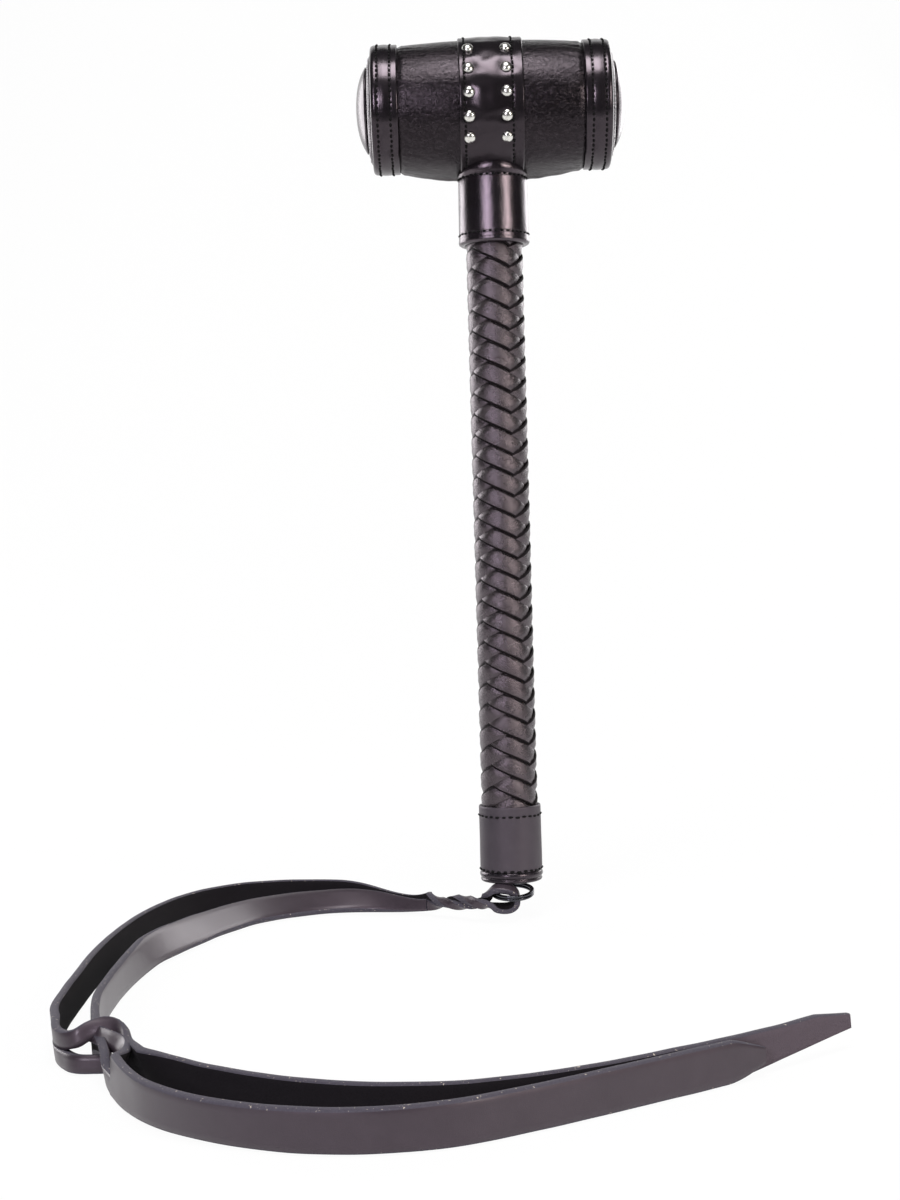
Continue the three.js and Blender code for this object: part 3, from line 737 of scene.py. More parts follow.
def barrel_radius(along):
    """The sleeve's outside radius at a distance from the middle of the head."""
    away = abs(along)
    tucked = BAND_INNER_EDGE - 0.0016
    share = min(max((away - SLEEVE_FLAT) / (BAND_INNER_EDGE - 0.0015 - SLEEVE_FLAT), 0), 1)
    fall = (SLEEVE_MIDDLE_RADIUS - SLEEVE_END_RADIUS) * FALL_AT_BAND * share ** 1.8
    radius = SLEEVE_MIDDLE_RADIUS - fall
    if away > tucked:
        left = max(0, 1 - (away - tucked) / TUCK_LENGTH)
        radius = SLEEVE_END_RADIUS + (radius - SLEEVE_END_RADIUS) * left
    return radius


def ripple(angle, along, rounds, lengths):
    """Slow unevenness of leather that is drawn round a core, from -1 to 1."""
    return noise.noise(Vector((math.cos(angle) * rounds, math.sin(angle) * rounds, along * lengths)))


def sleeve_folds(radius, height, angle):
    """Folds that run out from the bands, and the lapped seam underneath."""
    away = abs(height)
    near_band = math.exp(-((BAND_INNER_EDGE - away) / 0.010) ** 2) if away < BAND_INNER_EDGE else 0.0
    side = 1 if height > 0 else -1
    slant = angle * 15 + (BAND_INNER_EDGE - away) * 95 * side
    fold = noise.noise(Vector((slant, height * 25, side * 3.1)))
    fold += 0.5 * noise.noise(Vector((slant * 2.3, height * 60, 7)))
    out = GATHER_DEPTH * near_band * fold + SLEEVE_UNEVENNESS * ripple(angle, height, 2.2, 40)
    if away < BAND_INNER_EDGE - 0.0004:
        under = (angle - math.radians(8) + math.pi) % (2 * math.pi) - math.pi
        hang = SEAM_AT_BAND + SEAM_MORE_INWARD * min(max((BAND_INNER_EDGE - away) / 0.030, 0), 1)
        lump = 1 + 0.35 * noise.noise(Vector((height * 130, 2, 0)))
        lap = 0.65 * math.exp(-(under / 0.24) ** 2) + 0.35 * math.exp(-(under / 0.06) ** 2)
        out += hang * lump * lap
    return out


stops = [-SLEEVE_END + 2 * SLEEVE_END * k / 84 for k in range(85)]
outside = [(barrel_radius(along), along) for along in stops]
inside = [(radius - SLEEVE_THICKNESS, along) for radius, along in outside[::6]][::-1]
sleeve = wall("head_sleeve_leather", outside + inside, 168, bulge=sleeve_folds)
pebbled = leather("pebbled_sleeve_leather", (0.0006, 0.0005, 0.0006), (0.0160, 0.0136, 0.0154), 0.25, 0.50,
                  0.30, 0.00018, specular=0.33)
tree = pebbled.node_tree
# Fine creases drawn out along the head raise the bump, and the colour follows them: darker in their hollows
# and lighter on their ridges, a painted shade and highlight that makes the wrinkles show.
drawn = node(tree, "ShaderNodeMapping", {
    "Vector": tree.nodes["Texture Coordinate"].outputs["Object"], "Scale": (420, 640, 640),
    "Rotation": (0, 0.45, 0)})
crease = node(tree, "ShaderNodeTexNoise", {
    "Vector": drawn.outputs[0], "Scale": 1.0, "Detail": 4.0, "Roughness": 0.6,
    "Distortion": 0.9}).outputs["Fac"]
tree.links.new(sum_of(tree, "MULTIPLY_ADD", crease, 1.6, tree.nodes["Group"].outputs["Height"]),
               tree.nodes["Bump"].inputs["Height"])
tree.links.new(sum_of(tree, "MULTIPLY_ADD", crease, 3.6, -1.5), tree.nodes["Mix"].inputs[0])
settle(sleeve, HEAD_PLACE, pebbled)
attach(sleeve, "hammer")
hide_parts("head_sleeve")

# End bands: a strip of smooth leather round each end of the sleeve, sewn in two rows, its outer
# edge turned over the end of the head.
BAND_RADIUS = 0.0321
BAND_THICKNESS = 0.0014
BAND_LIP_RADIUS = 0.0274
BAND_ROWS = (0.0034, 0.0099)
BAND_PUFF = 0.00028
BAND_UNEVENNESS = 0.00012
GROOVE_DEPTH = 0.00016


def grooved(outline, rows, depth, width):
    """Presses a shallow groove into the outside of a finely stepped outline at each row."""
    pressed = []
    for radius, height in outline:
        dip = sum(math.exp(-((height - row) / width) ** 2) for row in rows)
        pressed.append((radius - depth * dip, height))
    return pressed


def fine_line(start, end, step=0.00035):
    """Evenly stepped points from start up to, but without, end."""
    count = max(1, round((Vector(end) - Vector(start)).length / step))
    return [tuple(Vector(start).lerp(Vector(end), k / count)) for k in range(count)]


band_inside = BAND_RADIUS - BAND_THICKNESS
band_rows = [HEAD_END - row for row in BAND_ROWS]
band_face = grooved(fine_line((BAND_RADIUS, BAND_INNER_EDGE + 0.0006), (BAND_RADIUS, HEAD_END - 0.0022)),
                    band_rows, GROOVE_DEPTH, 0.00055)
band_outline = [
    (band_inside, BAND_INNER_EDGE), (BAND_RADIUS - 0.0005, BAND_INNER_EDGE),
    (BAND_RADIUS - 0.0001, BAND_INNER_EDGE + 0.0002), *band_face,
    (BAND_RADIUS - 0.00004, HEAD_END - 0.0018), (BAND_RADIUS - 0.0003, HEAD_END - 0.0010),
    (BAND_RADIUS - 0.0008, HEAD_END - 0.0004), (BAND_RADIUS - 0.0016, HEAD_END - 0.00005),
    (BAND_LIP_RADIUS + 0.0004, HEAD_END), (BAND_LIP_RADIUS, HEAD_END - 0.0004),
    (BAND_LIP_RADIUS, HEAD_END - BAND_THICKNESS), (band_inside, HEAD_END - BAND_THICKNESS),
]


def band_swell(radius, height, angle):
    """The leather puffs between the two rows of stitches, and is a little uneven all over."""
    between = math.exp(-((height - HEAD_END + 0.0067) / 0.0022) ** 2)
    outer = 1.0 if radius > band_inside + 0.0003 else 0.0
    return outer * (BAND_PUFF * between + BAND_UNEVENNESS * ripple(angle, height, 5, 200))


smooth = leather("smooth_black_leather", (0.0050, 0.0042, 0.0052), (0.0110, 0.0095, 0.0112), 0.22, 0.10, 0.55,
                 0.00007, specular=0.62, spread=0.08)
for side, place in ENDS:
    band = settle(wall(f"end_band_{side}_leather", band_outline, 144, bulge=band_swell), place, smooth)
    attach(band, "hammer")
    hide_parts(f"end_band_{side}")

# End discs: a leather ring round each striking face, crowned between its edges. It is sewn close
# to its rim onto the head's end.
DISC_RIM = 0.0271
DISC_HOLE = 0.0195
DISC_BACK = 0.0586
DISC_ROW = 0.0250
disc_outline = [
    (DISC_HOLE, DISC_BACK), (DISC_RIM, DISC_BACK), (DISC_RIM, DISC_BACK + 0.0014),
    (DISC_RIM - 0.0002, DISC_BACK + 0.0019), (DISC_RIM - 0.0007, DISC_BACK + 0.0022),
    (DISC_ROW + 0.0005, DISC_BACK + 0.0024), (DISC_ROW + 0.0002, DISC_BACK + 0.0021),
    (DISC_ROW - 0.0002, DISC_BACK + 0.0021), (DISC_ROW - 0.0006, DISC_BACK + 0.0026),
    (0.0230, DISC_BACK + 0.0032), (0.0212, DISC_BACK + 0.0036), (DISC_HOLE, DISC_BACK + 0.0037),
]
for side, place in ENDS:
    disc = settle(wall(f"end_disc_{side}_leather", disc_outline, 120), place, smooth)
    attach(disc, "hammer")
    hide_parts(f"end_disc_{side}")

# Face pads: domed caps of smooth leather, drawn tight over the felt and tucked behind the discs.
# Their crowns are what the hammer strikes with.
PAD_RADIUS = 0.0215
PAD_BASE = 0.0625
PAD_CROWN = 0.0680
PAD_THICKNESS = 0.0016


def pad_height(radius):
    """How far a pad's dome stands from the middle of the head."""
    share = min(radius / PAD_RADIUS, 1)
    return PAD_BASE + (PAD_CROWN - PAD_BASE) * (1 - share ** 2.3) ** 0.8


pad_outline = [(radius, pad_height(radius)) for radius in (PAD_RADIUS * k / 16 for k in range(16))]
pad_outline += [
    (PAD_RADIUS, PAD_BASE + 0.0004), (PAD_RADIUS, PAD_BASE), (PAD_RADIUS - 0.0006, PAD_BASE - 0.0001)]
pad_outline += [(radius, pad_height(radius) - PAD_THICKNESS) for radius in (0.0185, 0.015, 0.010, 0.005, 0.0)]
pad_leather = leather("face_pad_leather", (0.0060, 0.0052, 0.0062), (0.0120, 0.0105, 0.0124), 0.26, 0.12, 0.5,
                      0.00008, specular=0.8)
for side, place in ENDS:
    pad = settle(wall(f"face_pad_{side}_leather", pad_outline, 96, closed=False), place, pad_leather)
    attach(pad, "hammer")
    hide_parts(f"face_pad_{side}")

# Centre belt: a strap of smooth leather round the middle of the head, sewn along both edges and
# drawn down by the studs, so that it puffs between them.
BELT_RADIUS = 0.0343
BELT_WIDTH = 0.032
BELT_THICKNESS = 0.0016
BELT_ROWS = (-0.0131, 0.0105)
BELT_PUFF = 0.00045
BELT_UNEVENNESS = 0.00025
STUD_DIMPLE = 0.00065
STUD_COLUMN = 0.0093
FRONT_STUD_SHIFT = -0.0019
STUD_BUNCHING = math.radians(0.85)
STUD_STEP = math.radians(20.5)
STUD_ANGLES = [math.radians(-36.6) + STUD_STEP * row + STUD_BUNCHING * row * (row - 4) for row in range(5)]


def stud_places():
    """Each stud's place along the head, and its angle round it from the front through the top."""
    places = []
    for column in (-STUD_COLUMN, STUD_COLUMN):
        for angle in STUD_ANGLES:
            places.append((column + FRONT_STUD_SHIFT, angle))
            places.append((column, math.pi - angle))
    return places


belt_inside = BELT_RADIUS - BELT_THICKNESS
half = BELT_WIDTH / 2
belt_face = grooved(fine_line((BELT_RADIUS, 0.0005 - half), (BELT_RADIUS, half - 0.0005), 0.0004),
                    BELT_ROWS, GROOVE_DEPTH, 0.0005)
belt_outline = [(belt_inside, -half), (BELT_RADIUS - 0.0004, -half), *belt_face,
                (BELT_RADIUS, half - 0.0005), (BELT_RADIUS - 0.0004, half), (belt_inside, half)]


def belt_puff(radius, height, angle):
    """Angle 0 is underneath, a quarter turn the back; the front is three quarters."""
    if radius < belt_inside + 0.0004:
        return 0.0
    elevation = -angle - math.pi / 2
    puff = BELT_PUFF * math.exp(-(height / 0.0085) ** 4)
    puff += BELT_UNEVENNESS * ripple(angle, height, 7, 170)
    for column, turn in stud_places():
        around = ((elevation - turn + math.pi) % (2 * math.pi) - math.pi) * BELT_RADIUS
        puff -= STUD_DIMPLE * math.exp(-((around / 0.0042) ** 2 + ((height - column) / 0.0040) ** 2))
    return puff


belt = wall("centre_belt_leather", belt_outline, 240, bulge=belt_puff)
belt_leather = leather("belt_leather", (0.0048, 0.0040, 0.0048), (0.0100, 0.0086, 0.0100), 0.23, 0.06, 0.4,
                       0.00006, specular=0.5, spread=0.08)
settle(belt, HEAD_PLACE, belt_leather)
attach(belt, "hammer")
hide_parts("centre_belt")


# Studs: nickel-plated domes on posts, set through the belt in two columns, five on the front and
# five on the back of each.
class Term:
    """A number that Math nodes work out, so that a rule in a tree can be written as a sum."""

    def __init__(self, tree, socket):
        self.tree, self.socket = tree, socket

    def by(self, operation, *others):
        return Term(self.tree, sum_of(self.tree, operation, self.socket, *others))

    def __add__(self, other):
        return self.by("ADD", other)

    def __sub__(self, other):
        return self.by("SUBTRACT", other)

    def __mul__(self, other):
        return self.by("MULTIPLY", other)

    def __truediv__(self, other):
        return self.by("DIVIDE", other)


def grown(name, tree, **values):
    """Runs a Geometry Nodes tree with its inputs set, and keeps the result as a plain mesh."""
    holder = linked(name, bpy.data.meshes.new(name))
    modifier = holder.modifiers.new(name, "NODES")
    modifier.node_group = tree
    sockets = {item.name: item.identifier for item in tree.interface.items_tree if item.in_out == "INPUT"}
    for label, value in values.items():
        modifier[sockets[label.replace("_", " ")]] = value
    finished = bpy.data.meshes.new_from_object(holder.evaluated_get(bpy.context.evaluated_depsgraph_get()))
    holder.modifiers.clear()
    holder.data = finished
    return holder


def tree_with(name, **inputs):
    """A Geometry Nodes tree with named inputs, its inputs as terms, and its output node."""
    kinds = {float: "NodeSocketFloat", int: "NodeSocketInt", bpy.types.Material: "NodeSocketMaterial"}
    tree = bpy.data.node_groups.new(name, "GeometryNodeTree")
    for label, value in inputs.items():
        kind = kinds[type(value)]
        socket = tree.interface.new_socket(label.replace("_", " "), in_out="INPUT", socket_type=kind)
        socket.default_value = value
    tree.interface.new_socket("Geometry", in_out="OUTPUT", socket_type="NodeSocketGeometry")
    sockets = tree.nodes.new("NodeGroupInput").outputs
    given = {label: Term(tree, sockets[label.replace("_", " ")]) for label in inputs}
    return tree, given, tree.nodes.new("NodeGroupOutput")


def ending(tree, geometry, result, material, edge_material=None, edge=None):
    """Ends a tree in real, smooth faces with their material, and another one where edge is true."""
    real = node(tree, "GeometryNodeRealizeInstances", {"Geometry": geometry.outputs[0]})
    shown = node(tree, "GeometryNodeSetShadeSmooth", {"Geometry": real.outputs[0]})
    painted = node(tree, "GeometryNodeSetMaterial", {"Geometry": shown.outputs[0], "Material": material})
    if edge is not None:
        painted = node(tree, "GeometryNodeSetMaterial", {
            "Geometry": painted.outputs[0], "Selection": edge, "Material": edge_material})
    tree.links.new(painted.outputs[0], result.inputs[0])


nickel = speckled("bright_nickel", {"Scale": 420.0, "Detail": 3.0}, (0.74, 0.72, 0.67), (0.86, 0.85, 0.82),
                  gloss=(0.14, 0.20), Metallic=1.0)
tree, given, result = tree_with(
    "stud_columns", Radius=0.0351, Column=0.0097, Lowest=0.0, Pitch=0.0, Bunching=0.0, Stud_Radius=0.0029,
    Stud_Height=0.0019, Front_Shift=0.0, Metal=nickel)
rows = node(tree, "GeometryNodeMeshLine", {"Count": 20})
number = Term(tree, node(tree, "GeometryNodeInputIndex").outputs[0])
row = number.by("MODULO", 5)
column = (number / 5).by("FLOOR").by("MODULO", 2)
back = (number / 10).by("FLOOR")
rise = row * (row - 4) * given["Bunching"] + row * given["Pitch"] + given["Lowest"]
away = rise.by("COSINE") * given["Radius"] * (back * 2 - 1)
up = rise.by("SINE") * given["Radius"]
side = (column * 2 - 1) * given["Column"] - (back - 1) * given["Front_Shift"]
spot = node(tree, "ShaderNodeCombineXYZ", {"X": side, "Y": away, "Z": up})
placed = node(tree, "GeometryNodeSetPosition", {"Geometry": rows.outputs[0], "Position": spot.outputs[0]})
outward = node(tree, "ShaderNodeCombineXYZ", {"Y": away, "Z": up})
stand = node(tree, "FunctionNodeAlignRotationToVector", {"Vector": outward.outputs[0]}, axis="Z")
dome = node(tree, "GeometryNodeMeshUVSphere", {"Segments": 20, "Rings": 14, "Radius": 1.0})
girth = node(tree, "ShaderNodeCombineXYZ", {
    "X": given["Stud_Radius"], "Y": given["Stud_Radius"], "Z": given["Stud_Height"]})
set_studs = node(tree, "GeometryNodeInstanceOnPoints", {
    "Points": placed.outputs[0], "Instance": dome.outputs[0], "Rotation": stand.outputs[0],
    "Scale": girth.outputs[0]})
ending(tree, set_studs, result, given["Metal"])
studs = grown("dome_studs", tree, Radius=BELT_RADIUS - 0.0001, Column=STUD_COLUMN, Lowest=STUD_ANGLES[0],
              Pitch=STUD_STEP, Bunching=STUD_BUNCHING, Front_Shift=FRONT_STUD_SHIFT, Metal=nickel)
settle(studs, Matrix.Translation((0, 0, HEAD_HEIGHT)))
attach(studs, "hammer")
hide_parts(*[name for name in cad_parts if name.startswith("stud_")])

# Handle's upper collar: a sleeve of smooth leather under the belt, its top cut to the round of the
# head and its foot turned in over the braid, sewn round both ends.
GRIP_TOP = 0.14225
UPPER_COLLAR_RADIUS = 0.0174
COLLAR_INSIDE = 0.0143
UPPER_ROWS = (0.1758, 0.1474)
COLLAR_STRAIGHT_TOP = 0.1766


def saddle_height(radius, angle):
    """Height at which the collar meets the belt: the head's axis is along X."""
    return HEAD_HEIGHT - math.sqrt((BELT_RADIUS + 0.0002) ** 2 - (radius * math.sin(angle)) ** 2)


def upper_collar(segments=128, top_steps=6):
    foot = [(COLLAR_INSIDE, GRIP_TOP + 0.0004), (COLLAR_INSIDE + 0.0012, GRIP_TOP - 0.0001),
            (0.0168, GRIP_TOP), (0.0177, GRIP_TOP + 0.0006), (0.0180, GRIP_TOP + 0.0014),
            (0.0179, GRIP_TOP + 0.0024)]
    side = grooved(fine_line((0.0178, GRIP_TOP + 0.0030), (UPPER_COLLAR_RADIUS, COLLAR_STRAIGHT_TOP), 0.0004),
                   UPPER_ROWS, GROOVE_DEPTH, 0.0006)
    rings = []
    for step in range(segments):
        angle = 2 * math.pi * step / segments
        line = []
        for radius, height in foot + side:
            wave = 0.00010 * ripple(angle, height, 3, 120)
            line.append((radius + (wave if radius > 0.0165 else 0), height))
        rise = saddle_height(UPPER_COLLAR_RADIUS, angle) + 0.0003 - COLLAR_STRAIGHT_TOP
        for k in range(1, top_steps + 1):
            t = k / top_steps
            swell = (0.0006 * math.sin(math.pi * t) + 0.0004 * t) * min(1, max(0, rise / 0.003))
            crease = 0.00018 * noise.noise(Vector((angle * 9, t * 2, 4)))
            line.append((UPPER_COLLAR_RADIUS + swell + crease, COLLAR_STRAIGHT_TOP + max(rise, 0.0004) * t))
        line.append((COLLAR_INSIDE, saddle_height(COLLAR_INSIDE, angle)))
        rings.append([(r * math.cos(angle), r * math.sin(angle), z) for r, z in line])
    return skinned("upper_collar_leather", rings)


collar_leather = leather("upper_collar_leather", (0.0045, 0.0038, 0.0047), (0.0105, 0.0090, 0.0107), 0.21,
                         0.35, 0.6, 0.00012, specular=1.0, spread=0.08)
collar = settle(upper_collar(), HANDLE_PLACE, collar_leather)
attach(collar, "hammer")
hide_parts("upper_collar")

# Braided grip: eight leather laces in a herringbone, four wound each way, each over two and under
# two of the others. One edge of each stands a little proud, and a dark strip runs along it: its
# black cut, and beside it on the face a painted shade where the lace meets the next. It is the
# lower edge of those wound one way, the upper edge of the others. The columns wander round the grip.
BRAID_MIDDLE_RADIUS = 0.01295
BAND_SPACING = 0.01047
SECTION_POWER = 0.38
EDGE_AND_SHADE_SHARE = -0.7
BRAID_TURN = {"Turn_Middle": math.radians(-20), "Turn_Drift": math.radians(-116),
              "Turn_Bend": math.radians(758), "Turn_Twist": math.radians(1838)}
braid_leather = leather("braid_lace_leather", (0.010, 0.0086, 0.0089), (0.035, 0.0305, 0.0310), 0.27, 0.34,
                        0.80, 0.00020, specular=1.0)
# The dark edge finish is the laces' black cut, and also a painted shade along the face next to it.
braid_edge_and_shade = leather("braid_lace_edge_and_painted_shade", (0.0022, 0.0019, 0.0019), (0.0070, 0.0060, 0.0060), 0.70, 0.10, 0.6,
                     0.00010, specular=0.15)
tree, given, result = tree_with(
    "braid_lace", Hand=1.0, Number=0.0, Phase=0.0, Spacing=0.0106, Middle_Radius=0.01295, Wave=0.0007,
    Thickness=0.0014, Crown=0.00035, Lift=0.00045, Top=0.15, Bottom=-0.15, Rise=-0.0009, Turn_Middle=0.0,
    Turn_Drift=0.0, Turn_Bend=0.0, Turn_Twist=0.0, Leather=braid_leather, Edge_Leather=braid_edge_and_shade)
sheet = node(tree, "GeometryNodeMeshGrid", {
    "Size X": 1.0, "Size Y": 1.0, "Vertices X": 560, "Vertices Y": 13})
spot = node(tree, "ShaderNodeSeparateXYZ", {"Vector": node(tree, "GeometryNodeInputPosition").outputs[0]})
share = Term(tree, spot.outputs["X"]) + 0.5
turn = Term(tree, spot.outputs["Y"]) * (-2 * math.pi) + math.pi
closing = (share.by("PINGPONG", 0.5) * 300).by("MINIMUM", 1)


def squared(value):
    """Keeps the sign and flattens a sine towards a square, for a lace's rounded section."""
    return value.by("ABSOLUTE").by("POWER", SECTION_POWER) * value.by("SIGN")


side = squared(turn.by("COSINE")) * closing
face = squared(turn.by("SINE")) * closing
centre = share * (given["Top"] - given["Bottom"]) + given["Bottom"]
own = given["Number"] + 0.5
along = centre * 2 / given["Spacing"] - own
offset = side * 0.5
height = centre + given["Spacing"] * offset * 0.5 + given["Rise"]
drift = height * given["Turn_Twist"] + given["Turn_Bend"]
drift = height * (height * drift + given["Turn_Drift"]) + given["Turn_Middle"]
angle = (own + offset - along) * (math.pi / 4) * given["Hand"] + drift
cell = along - given["Number"] - given["Phase"]
wave = ((cell * (math.pi / 2)).by("COSINE") * 2.6).by("MAXIMUM", -1).by("MINIMUM", 1)
outer_side = side * given["Hand"]
reach = given["Middle_Radius"] + wave * given["Wave"] + face * given["Thickness"] * 0.5
reach = reach - side * side * given["Crown"] - outer_side * given["Lift"]
spot = node(tree, "ShaderNodeCombineXYZ", {
    "X": reach * angle.by("SINE"), "Y": reach * angle.by("COSINE") * -1, "Z": height})
marked = tree.nodes.new("GeometryNodeCaptureAttribute")
marked.capture_items.new("FLOAT", "Side")
tree.links.new(sheet.outputs["Mesh"], marked.inputs["Geometry"])
tree.links.new(outer_side.socket, marked.inputs["Side"])
laid = node(tree, "GeometryNodeSetPosition", {
    "Geometry": marked.outputs["Geometry"], "Position": spot.outputs[0]})
welded = node(tree, "GeometryNodeMergeByDistance", {"Geometry": laid.outputs[0], "Distance": 0.000002})
# The dark strip is the proud edge's black cut, and on the face beside it a painted shade.
proud_edge_and_shade = sum_of(tree, "LESS_THAN", marked.outputs["Side"], EDGE_AND_SHADE_SHARE)
ending(tree, welded, result, given["Leather"], given["Edge_Leather"], proud_edge_and_shade)


def joined(name, pieces):
    """One mesh object from several, with its faces outward."""
    mesh = bmesh.new()
    for piece in pieces:
        mesh.from_mesh(piece.data)
        bpy.data.objects.remove(piece)
    return object_of(name, mesh)


laces = [grown(f"lace_{number}", tree, Hand=hand, Number=float(number), Phase=phase, Spacing=BAND_SPACING,
               Top=0.1500, Bottom=-0.1480, Middle_Radius=BRAID_MIDDLE_RADIUS, Leather=braid_leather,
               Edge_Leather=braid_edge_and_shade, **BRAID_TURN)
         for hand, phase in ((1.0, 0.0), (-1.0, 3.0)) for number in range(4)]
edge_and_shade_slot = laces[0].data.materials.find(braid_edge_and_shade.name)
braid = joined("braided_laces", laces)
braid.data.materials.append(braid_leather)
braid.data.materials.append(braid_edge_and_shade)
for face in braid.data.polygons:
    face.material_index = 1 if face.material_index == edge_and_shade_slot else 0
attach(braid, "hammer")
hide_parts("braided_cover")

# Lower collar: a sleeve of charcoal leather over the braid's end, sewn round both ends, with a
# burnished rim of stacked edges below the lower stitches.
GRIP_BOTTOM = -0.14225
COLLAR_END = -0.18075
LOWER_COLLAR_RADIUS = 0.0158
LOWER_ROWS = (-0.1471, -0.1747)
lower_side = grooved(fine_line((LOWER_COLLAR_RADIUS, COLLAR_END + 0.0056),
                               (LOWER_COLLAR_RADIUS, GRIP_BOTTOM - 0.0006), 0.0004),
                     LOWER_ROWS, 0.00014, 0.0006)
rim_outline = [(radius, COLLAR_END + height) for radius, height in (
    (COLLAR_INSIDE, 0.0002), (0.0150, 0), (0.0155, 0.0003), (0.0157, 0.0010), (0.0155, 0.0016),
    (0.0151, 0.0019), (0.0156, 0.0023), (0.0160, 0.0030), (0.0161, 0.0037), (0.0159, 0.0045),
    (0.0155, 0.0051), (0.0151, 0.0054), (COLLAR_INSIDE, 0.0054))]
side_outline = [(COLLAR_INSIDE, COLLAR_END + 0.0055), (0.0155, COLLAR_END + 0.0055), *lower_side,
                (LOWER_COLLAR_RADIUS, GRIP_BOTTOM - 0.0006), (0.0156, GRIP_BOTTOM - 0.0001),
                (0.0152, GRIP_BOTTOM), (COLLAR_INSIDE + 0.0003, GRIP_BOTTOM),
                (COLLAR_INSIDE, GRIP_BOTTOM - 0.0003)]


def collar_wave(radius, height, angle):
    return 0.00012 * ripple(angle, height, 2.5, 60) if radius > 0.0149 else 0.0


matte = leather("charcoal_collar_leather", (0.032, 0.0280, 0.0340), (0.058, 0.0510, 0.0600), 0.50, 0.12, 0.6,
                0.00010)
burnished = leather("burnished_rim_leather", (0.010, 0.009, 0.011), (0.026, 0.023, 0.027), 0.22, 0.05, 0.5,
                    0.00008)
lower = settle(wall("lower_collar_leather", side_outline, 112, bulge=collar_wave), HANDLE_PLACE, matte)
rim = settle(wall("lower_collar_rim", rim_outline, 112, bulge=collar_wave), HANDLE_PLACE, burnished)
for made in (lower, rim):
    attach(made, "hammer")
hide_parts("lower_collar")
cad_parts["butt_disc"].data.materials[0] = matte

# Sewing: waxed black thread along the bands, belt and collars. Round the discs the thread is pale,
# a painted highlight of the discs' lit edges. Each stitch lies in the groove that the thread has
# pulled into the leather.
thread = speckled("waxed_black_thread", {"Scale": 3000.0, "Detail": 2.0}, (0.002, 0.002, 0.002),
                  (0.006, 0.0055, 0.006), 0.00008, Roughness=0.7, Specular_IOR_Level=0.15)
# Its pale grey is a painted highlight, where the discs' stitched edges catch the light.
disc_thread_painted_highlight = speckled("pale_disc_thread_painted_highlight", {"Scale": 3000.0, "Detail": 2.0}, (0.28, 0.26, 0.28),
                       (0.50, 0.47, 0.50), Roughness=0.5)
tree, given, result = tree_with(
    "stitch_row", Row_Radius=0.03, Stitches=80, Stitch_Length=0.0017, Thread_Radius=0.0003,
    Wander=0.00020, Seed=7, Thread=thread)
circle = node(tree, "GeometryNodeCurvePrimitiveCircle", {"Resolution": 128, "Radius": given["Row_Radius"]})
spots = node(tree, "GeometryNodeCurveToPoints", {"Curve": circle.outputs[0], "Count": given["Stitches"]})


def random_between(low, high, seed):
    drawn = node(tree, "FunctionNodeRandomValue", {2: low, 3: high, "Seed": seed}, data_type="FLOAT")
    return Term(tree, drawn.outputs[1])


astray = node(tree, "ShaderNodeCombineXYZ", {
    "Z": random_between(-1.0, 1.0, given["Seed"]) * given["Wander"]})
strayed = node(tree, "GeometryNodeSetPosition", {
    "Geometry": spots.outputs["Points"], "Offset": astray.outputs[0]})
bead = node(tree, "GeometryNodeMeshUVSphere", {"Segments": 6, "Rings": 6, "Radius": 1.0})
pull = random_between(0.40, 0.56, given["Seed"] + 11)
size = node(tree, "ShaderNodeCombineXYZ", {
    "X": given["Thread_Radius"], "Y": given["Thread_Radius"], "Z": given["Stitch_Length"] * pull})
sewn = node(tree, "GeometryNodeInstanceOnPoints", {
    "Points": strayed.outputs[0], "Instance": bead.outputs[0], "Rotation": spots.outputs["Rotation"],
    "Scale": size.outputs[0]})
ending(tree, sewn, result, given["Thread"])


STITCH_SHARE = 0.68


def stitches(name, rows, thread=thread, thickness=0.0006):
    """Rows of (radius, distance along the axis, pitch, placing) sewn into one mesh."""
    sewn_rows = []
    for radius, along, pitch, placing in rows:
        row = grown(f"{name}_row", tree, Stitches=round(2 * math.pi * radius / pitch), Row_Radius=radius,
                    Stitch_Length=pitch * STITCH_SHARE, Thread_Radius=thickness, Thread=thread)
        sewn_rows.append(settle(row, placing @ Matrix.Translation((0, 0, along))))
    made = joined(name, sewn_rows)
    made.data.materials.append(thread)
    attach(made, "hammer")


stitches("band_stitches", [(BAND_RADIUS, row, 0.0028, place) for row in band_rows for _, place in ENDS],
         thickness=0.00062)
stitches("disc_stitches", [(DISC_ROW + 0.0006, DISC_BACK + 0.0024, 0.0021, place) for _, place in ENDS],
         disc_thread_painted_highlight, 0.00036)
stitches("belt_stitches", [(BELT_RADIUS, row, 0.0027, HEAD_PLACE) for row in BELT_ROWS])
stitches("upper_collar_stitches", [(UPPER_COLLAR_RADIUS, UPPER_ROWS[0], 0.0030, HANDLE_PLACE),
                                   (0.0176, UPPER_ROWS[1], 0.0030, HANDLE_PLACE)])
stitches("lower_collar_stitches", [(LOWER_COLLAR_RADIUS, row, 0.0036, HANDLE_PLACE) for row in LOWER_ROWS])

# Screw eye: black-nickel wire, bent to an eye whose shank is driven into the butt through the
# butt disc.
EYE_HEIGHT = -0.18275
EYE_WIRE = 0.0010
EYE_MIDDLE = 0.0031


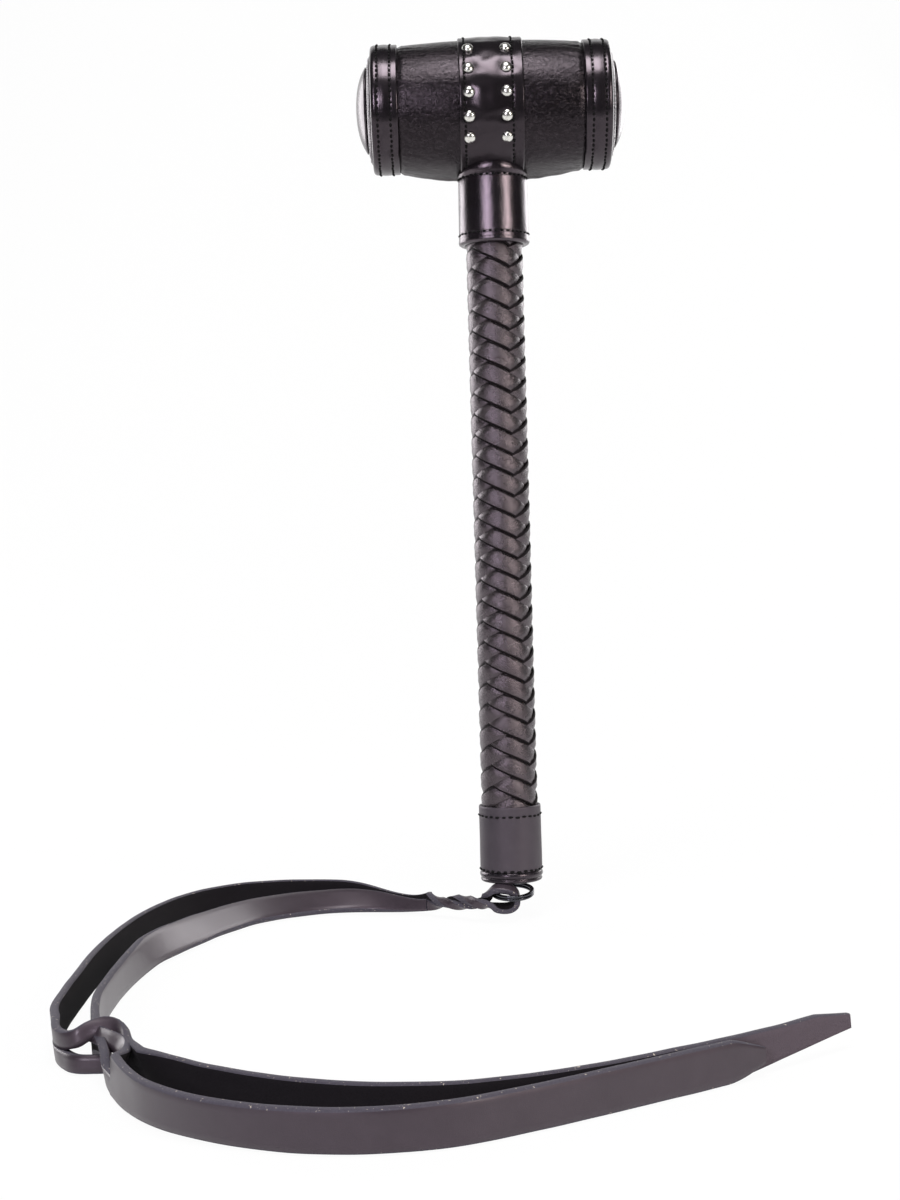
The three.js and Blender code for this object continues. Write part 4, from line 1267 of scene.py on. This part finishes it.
def tube(name, line, across_radius, axis_radius, sides=12):
    """Sweeps a round or flattened section along places, each given with its outward direction."""
    power = 1.0 if across_radius == axis_radius else 0.6
    places = [place for place, _ in line]
    rings = []
    for index, (place, outward) in enumerate(line):
        along = heading(places, index)
        outward = (outward - along * outward.dot(along)).normalized()
        third = along.cross(outward)
        ring = []
        for step in range(sides):
            angle = 2 * math.pi * step / sides
            c, d = (math.copysign(abs(part) ** power, part) for part in (math.cos(angle), math.sin(angle)))
            ring.append(place + outward * c * across_radius + third * d * axis_radius)
        rings.append(ring)
    return skinned(name, rings, looped=False, capped=True)


black_nickel = speckled("black_nickel", {"Scale": 500.0, "Detail": 4.0}, (0.035, 0.035, 0.042),
                        (0.10, 0.10, 0.115), gloss=(0.2, 0.1), Metallic=1.0)
eye_line = []
for step in range(37):
    angle = math.radians(90 - 360 * step / 36 * 0.985)
    out = Vector((0, math.cos(angle), math.sin(angle)))
    aside = Vector((0.0002 * math.sin(angle * 0.5), 0, 0))
    eye_line.append((Vector((0, 0, EYE_HEIGHT)) + out * EYE_MIDDLE + aside, out))
shank = [(Vector((0, 0, EYE_HEIGHT + z)), Vector((0, 1, 0))) for z in (0.0026, 0.006, 0.012, 0.020, 0.028)]
eye = joined("screw_eye_wire", [
    tube("eye", eye_line, EYE_WIRE, EYE_WIRE), tube("shank", shank, EYE_WIRE, EYE_WIRE)])
eye.data.materials.append(black_nickel)
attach(eye, "hammer")
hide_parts("screw_eye")

# Split ring: two turns of flattened black-nickel wire lying on each other, sprung through the eye.
# It swings about its own wire where that lies in the eye.
RING_MIDDLE = 0.0100
RING_WIRE = (0.00095, 0.00068)
RING_LEVEL = 0.00072
hinge = Vector((0, -0.000566, -0.183316))
tilt = Matrix.Rotation(RING_TILT, 4, "X")
ring_place = Matrix.Translation(hinge) @ tilt @ Matrix.Translation((0, -RING_MIDDLE, 0))
ring_line = []
for step in range(161):
    turns = step / 80
    angle = 2 * math.pi * turns + math.radians(200)
    climb = min(max((turns - 0.94) / 0.12, 0), 1)
    level = RING_LEVEL * (2 * climb * climb * (3 - 2 * climb) - 1)
    out = Vector((math.cos(angle), math.sin(angle), 0))
    ring_line.append((out * RING_MIDDLE + Vector((0, 0, level)), out))
ring = settle(tube("split_ring_coils", ring_line, *RING_WIRE, sides=16), ring_place, black_nickel)
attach(ring, "ring")
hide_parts("split_ring")
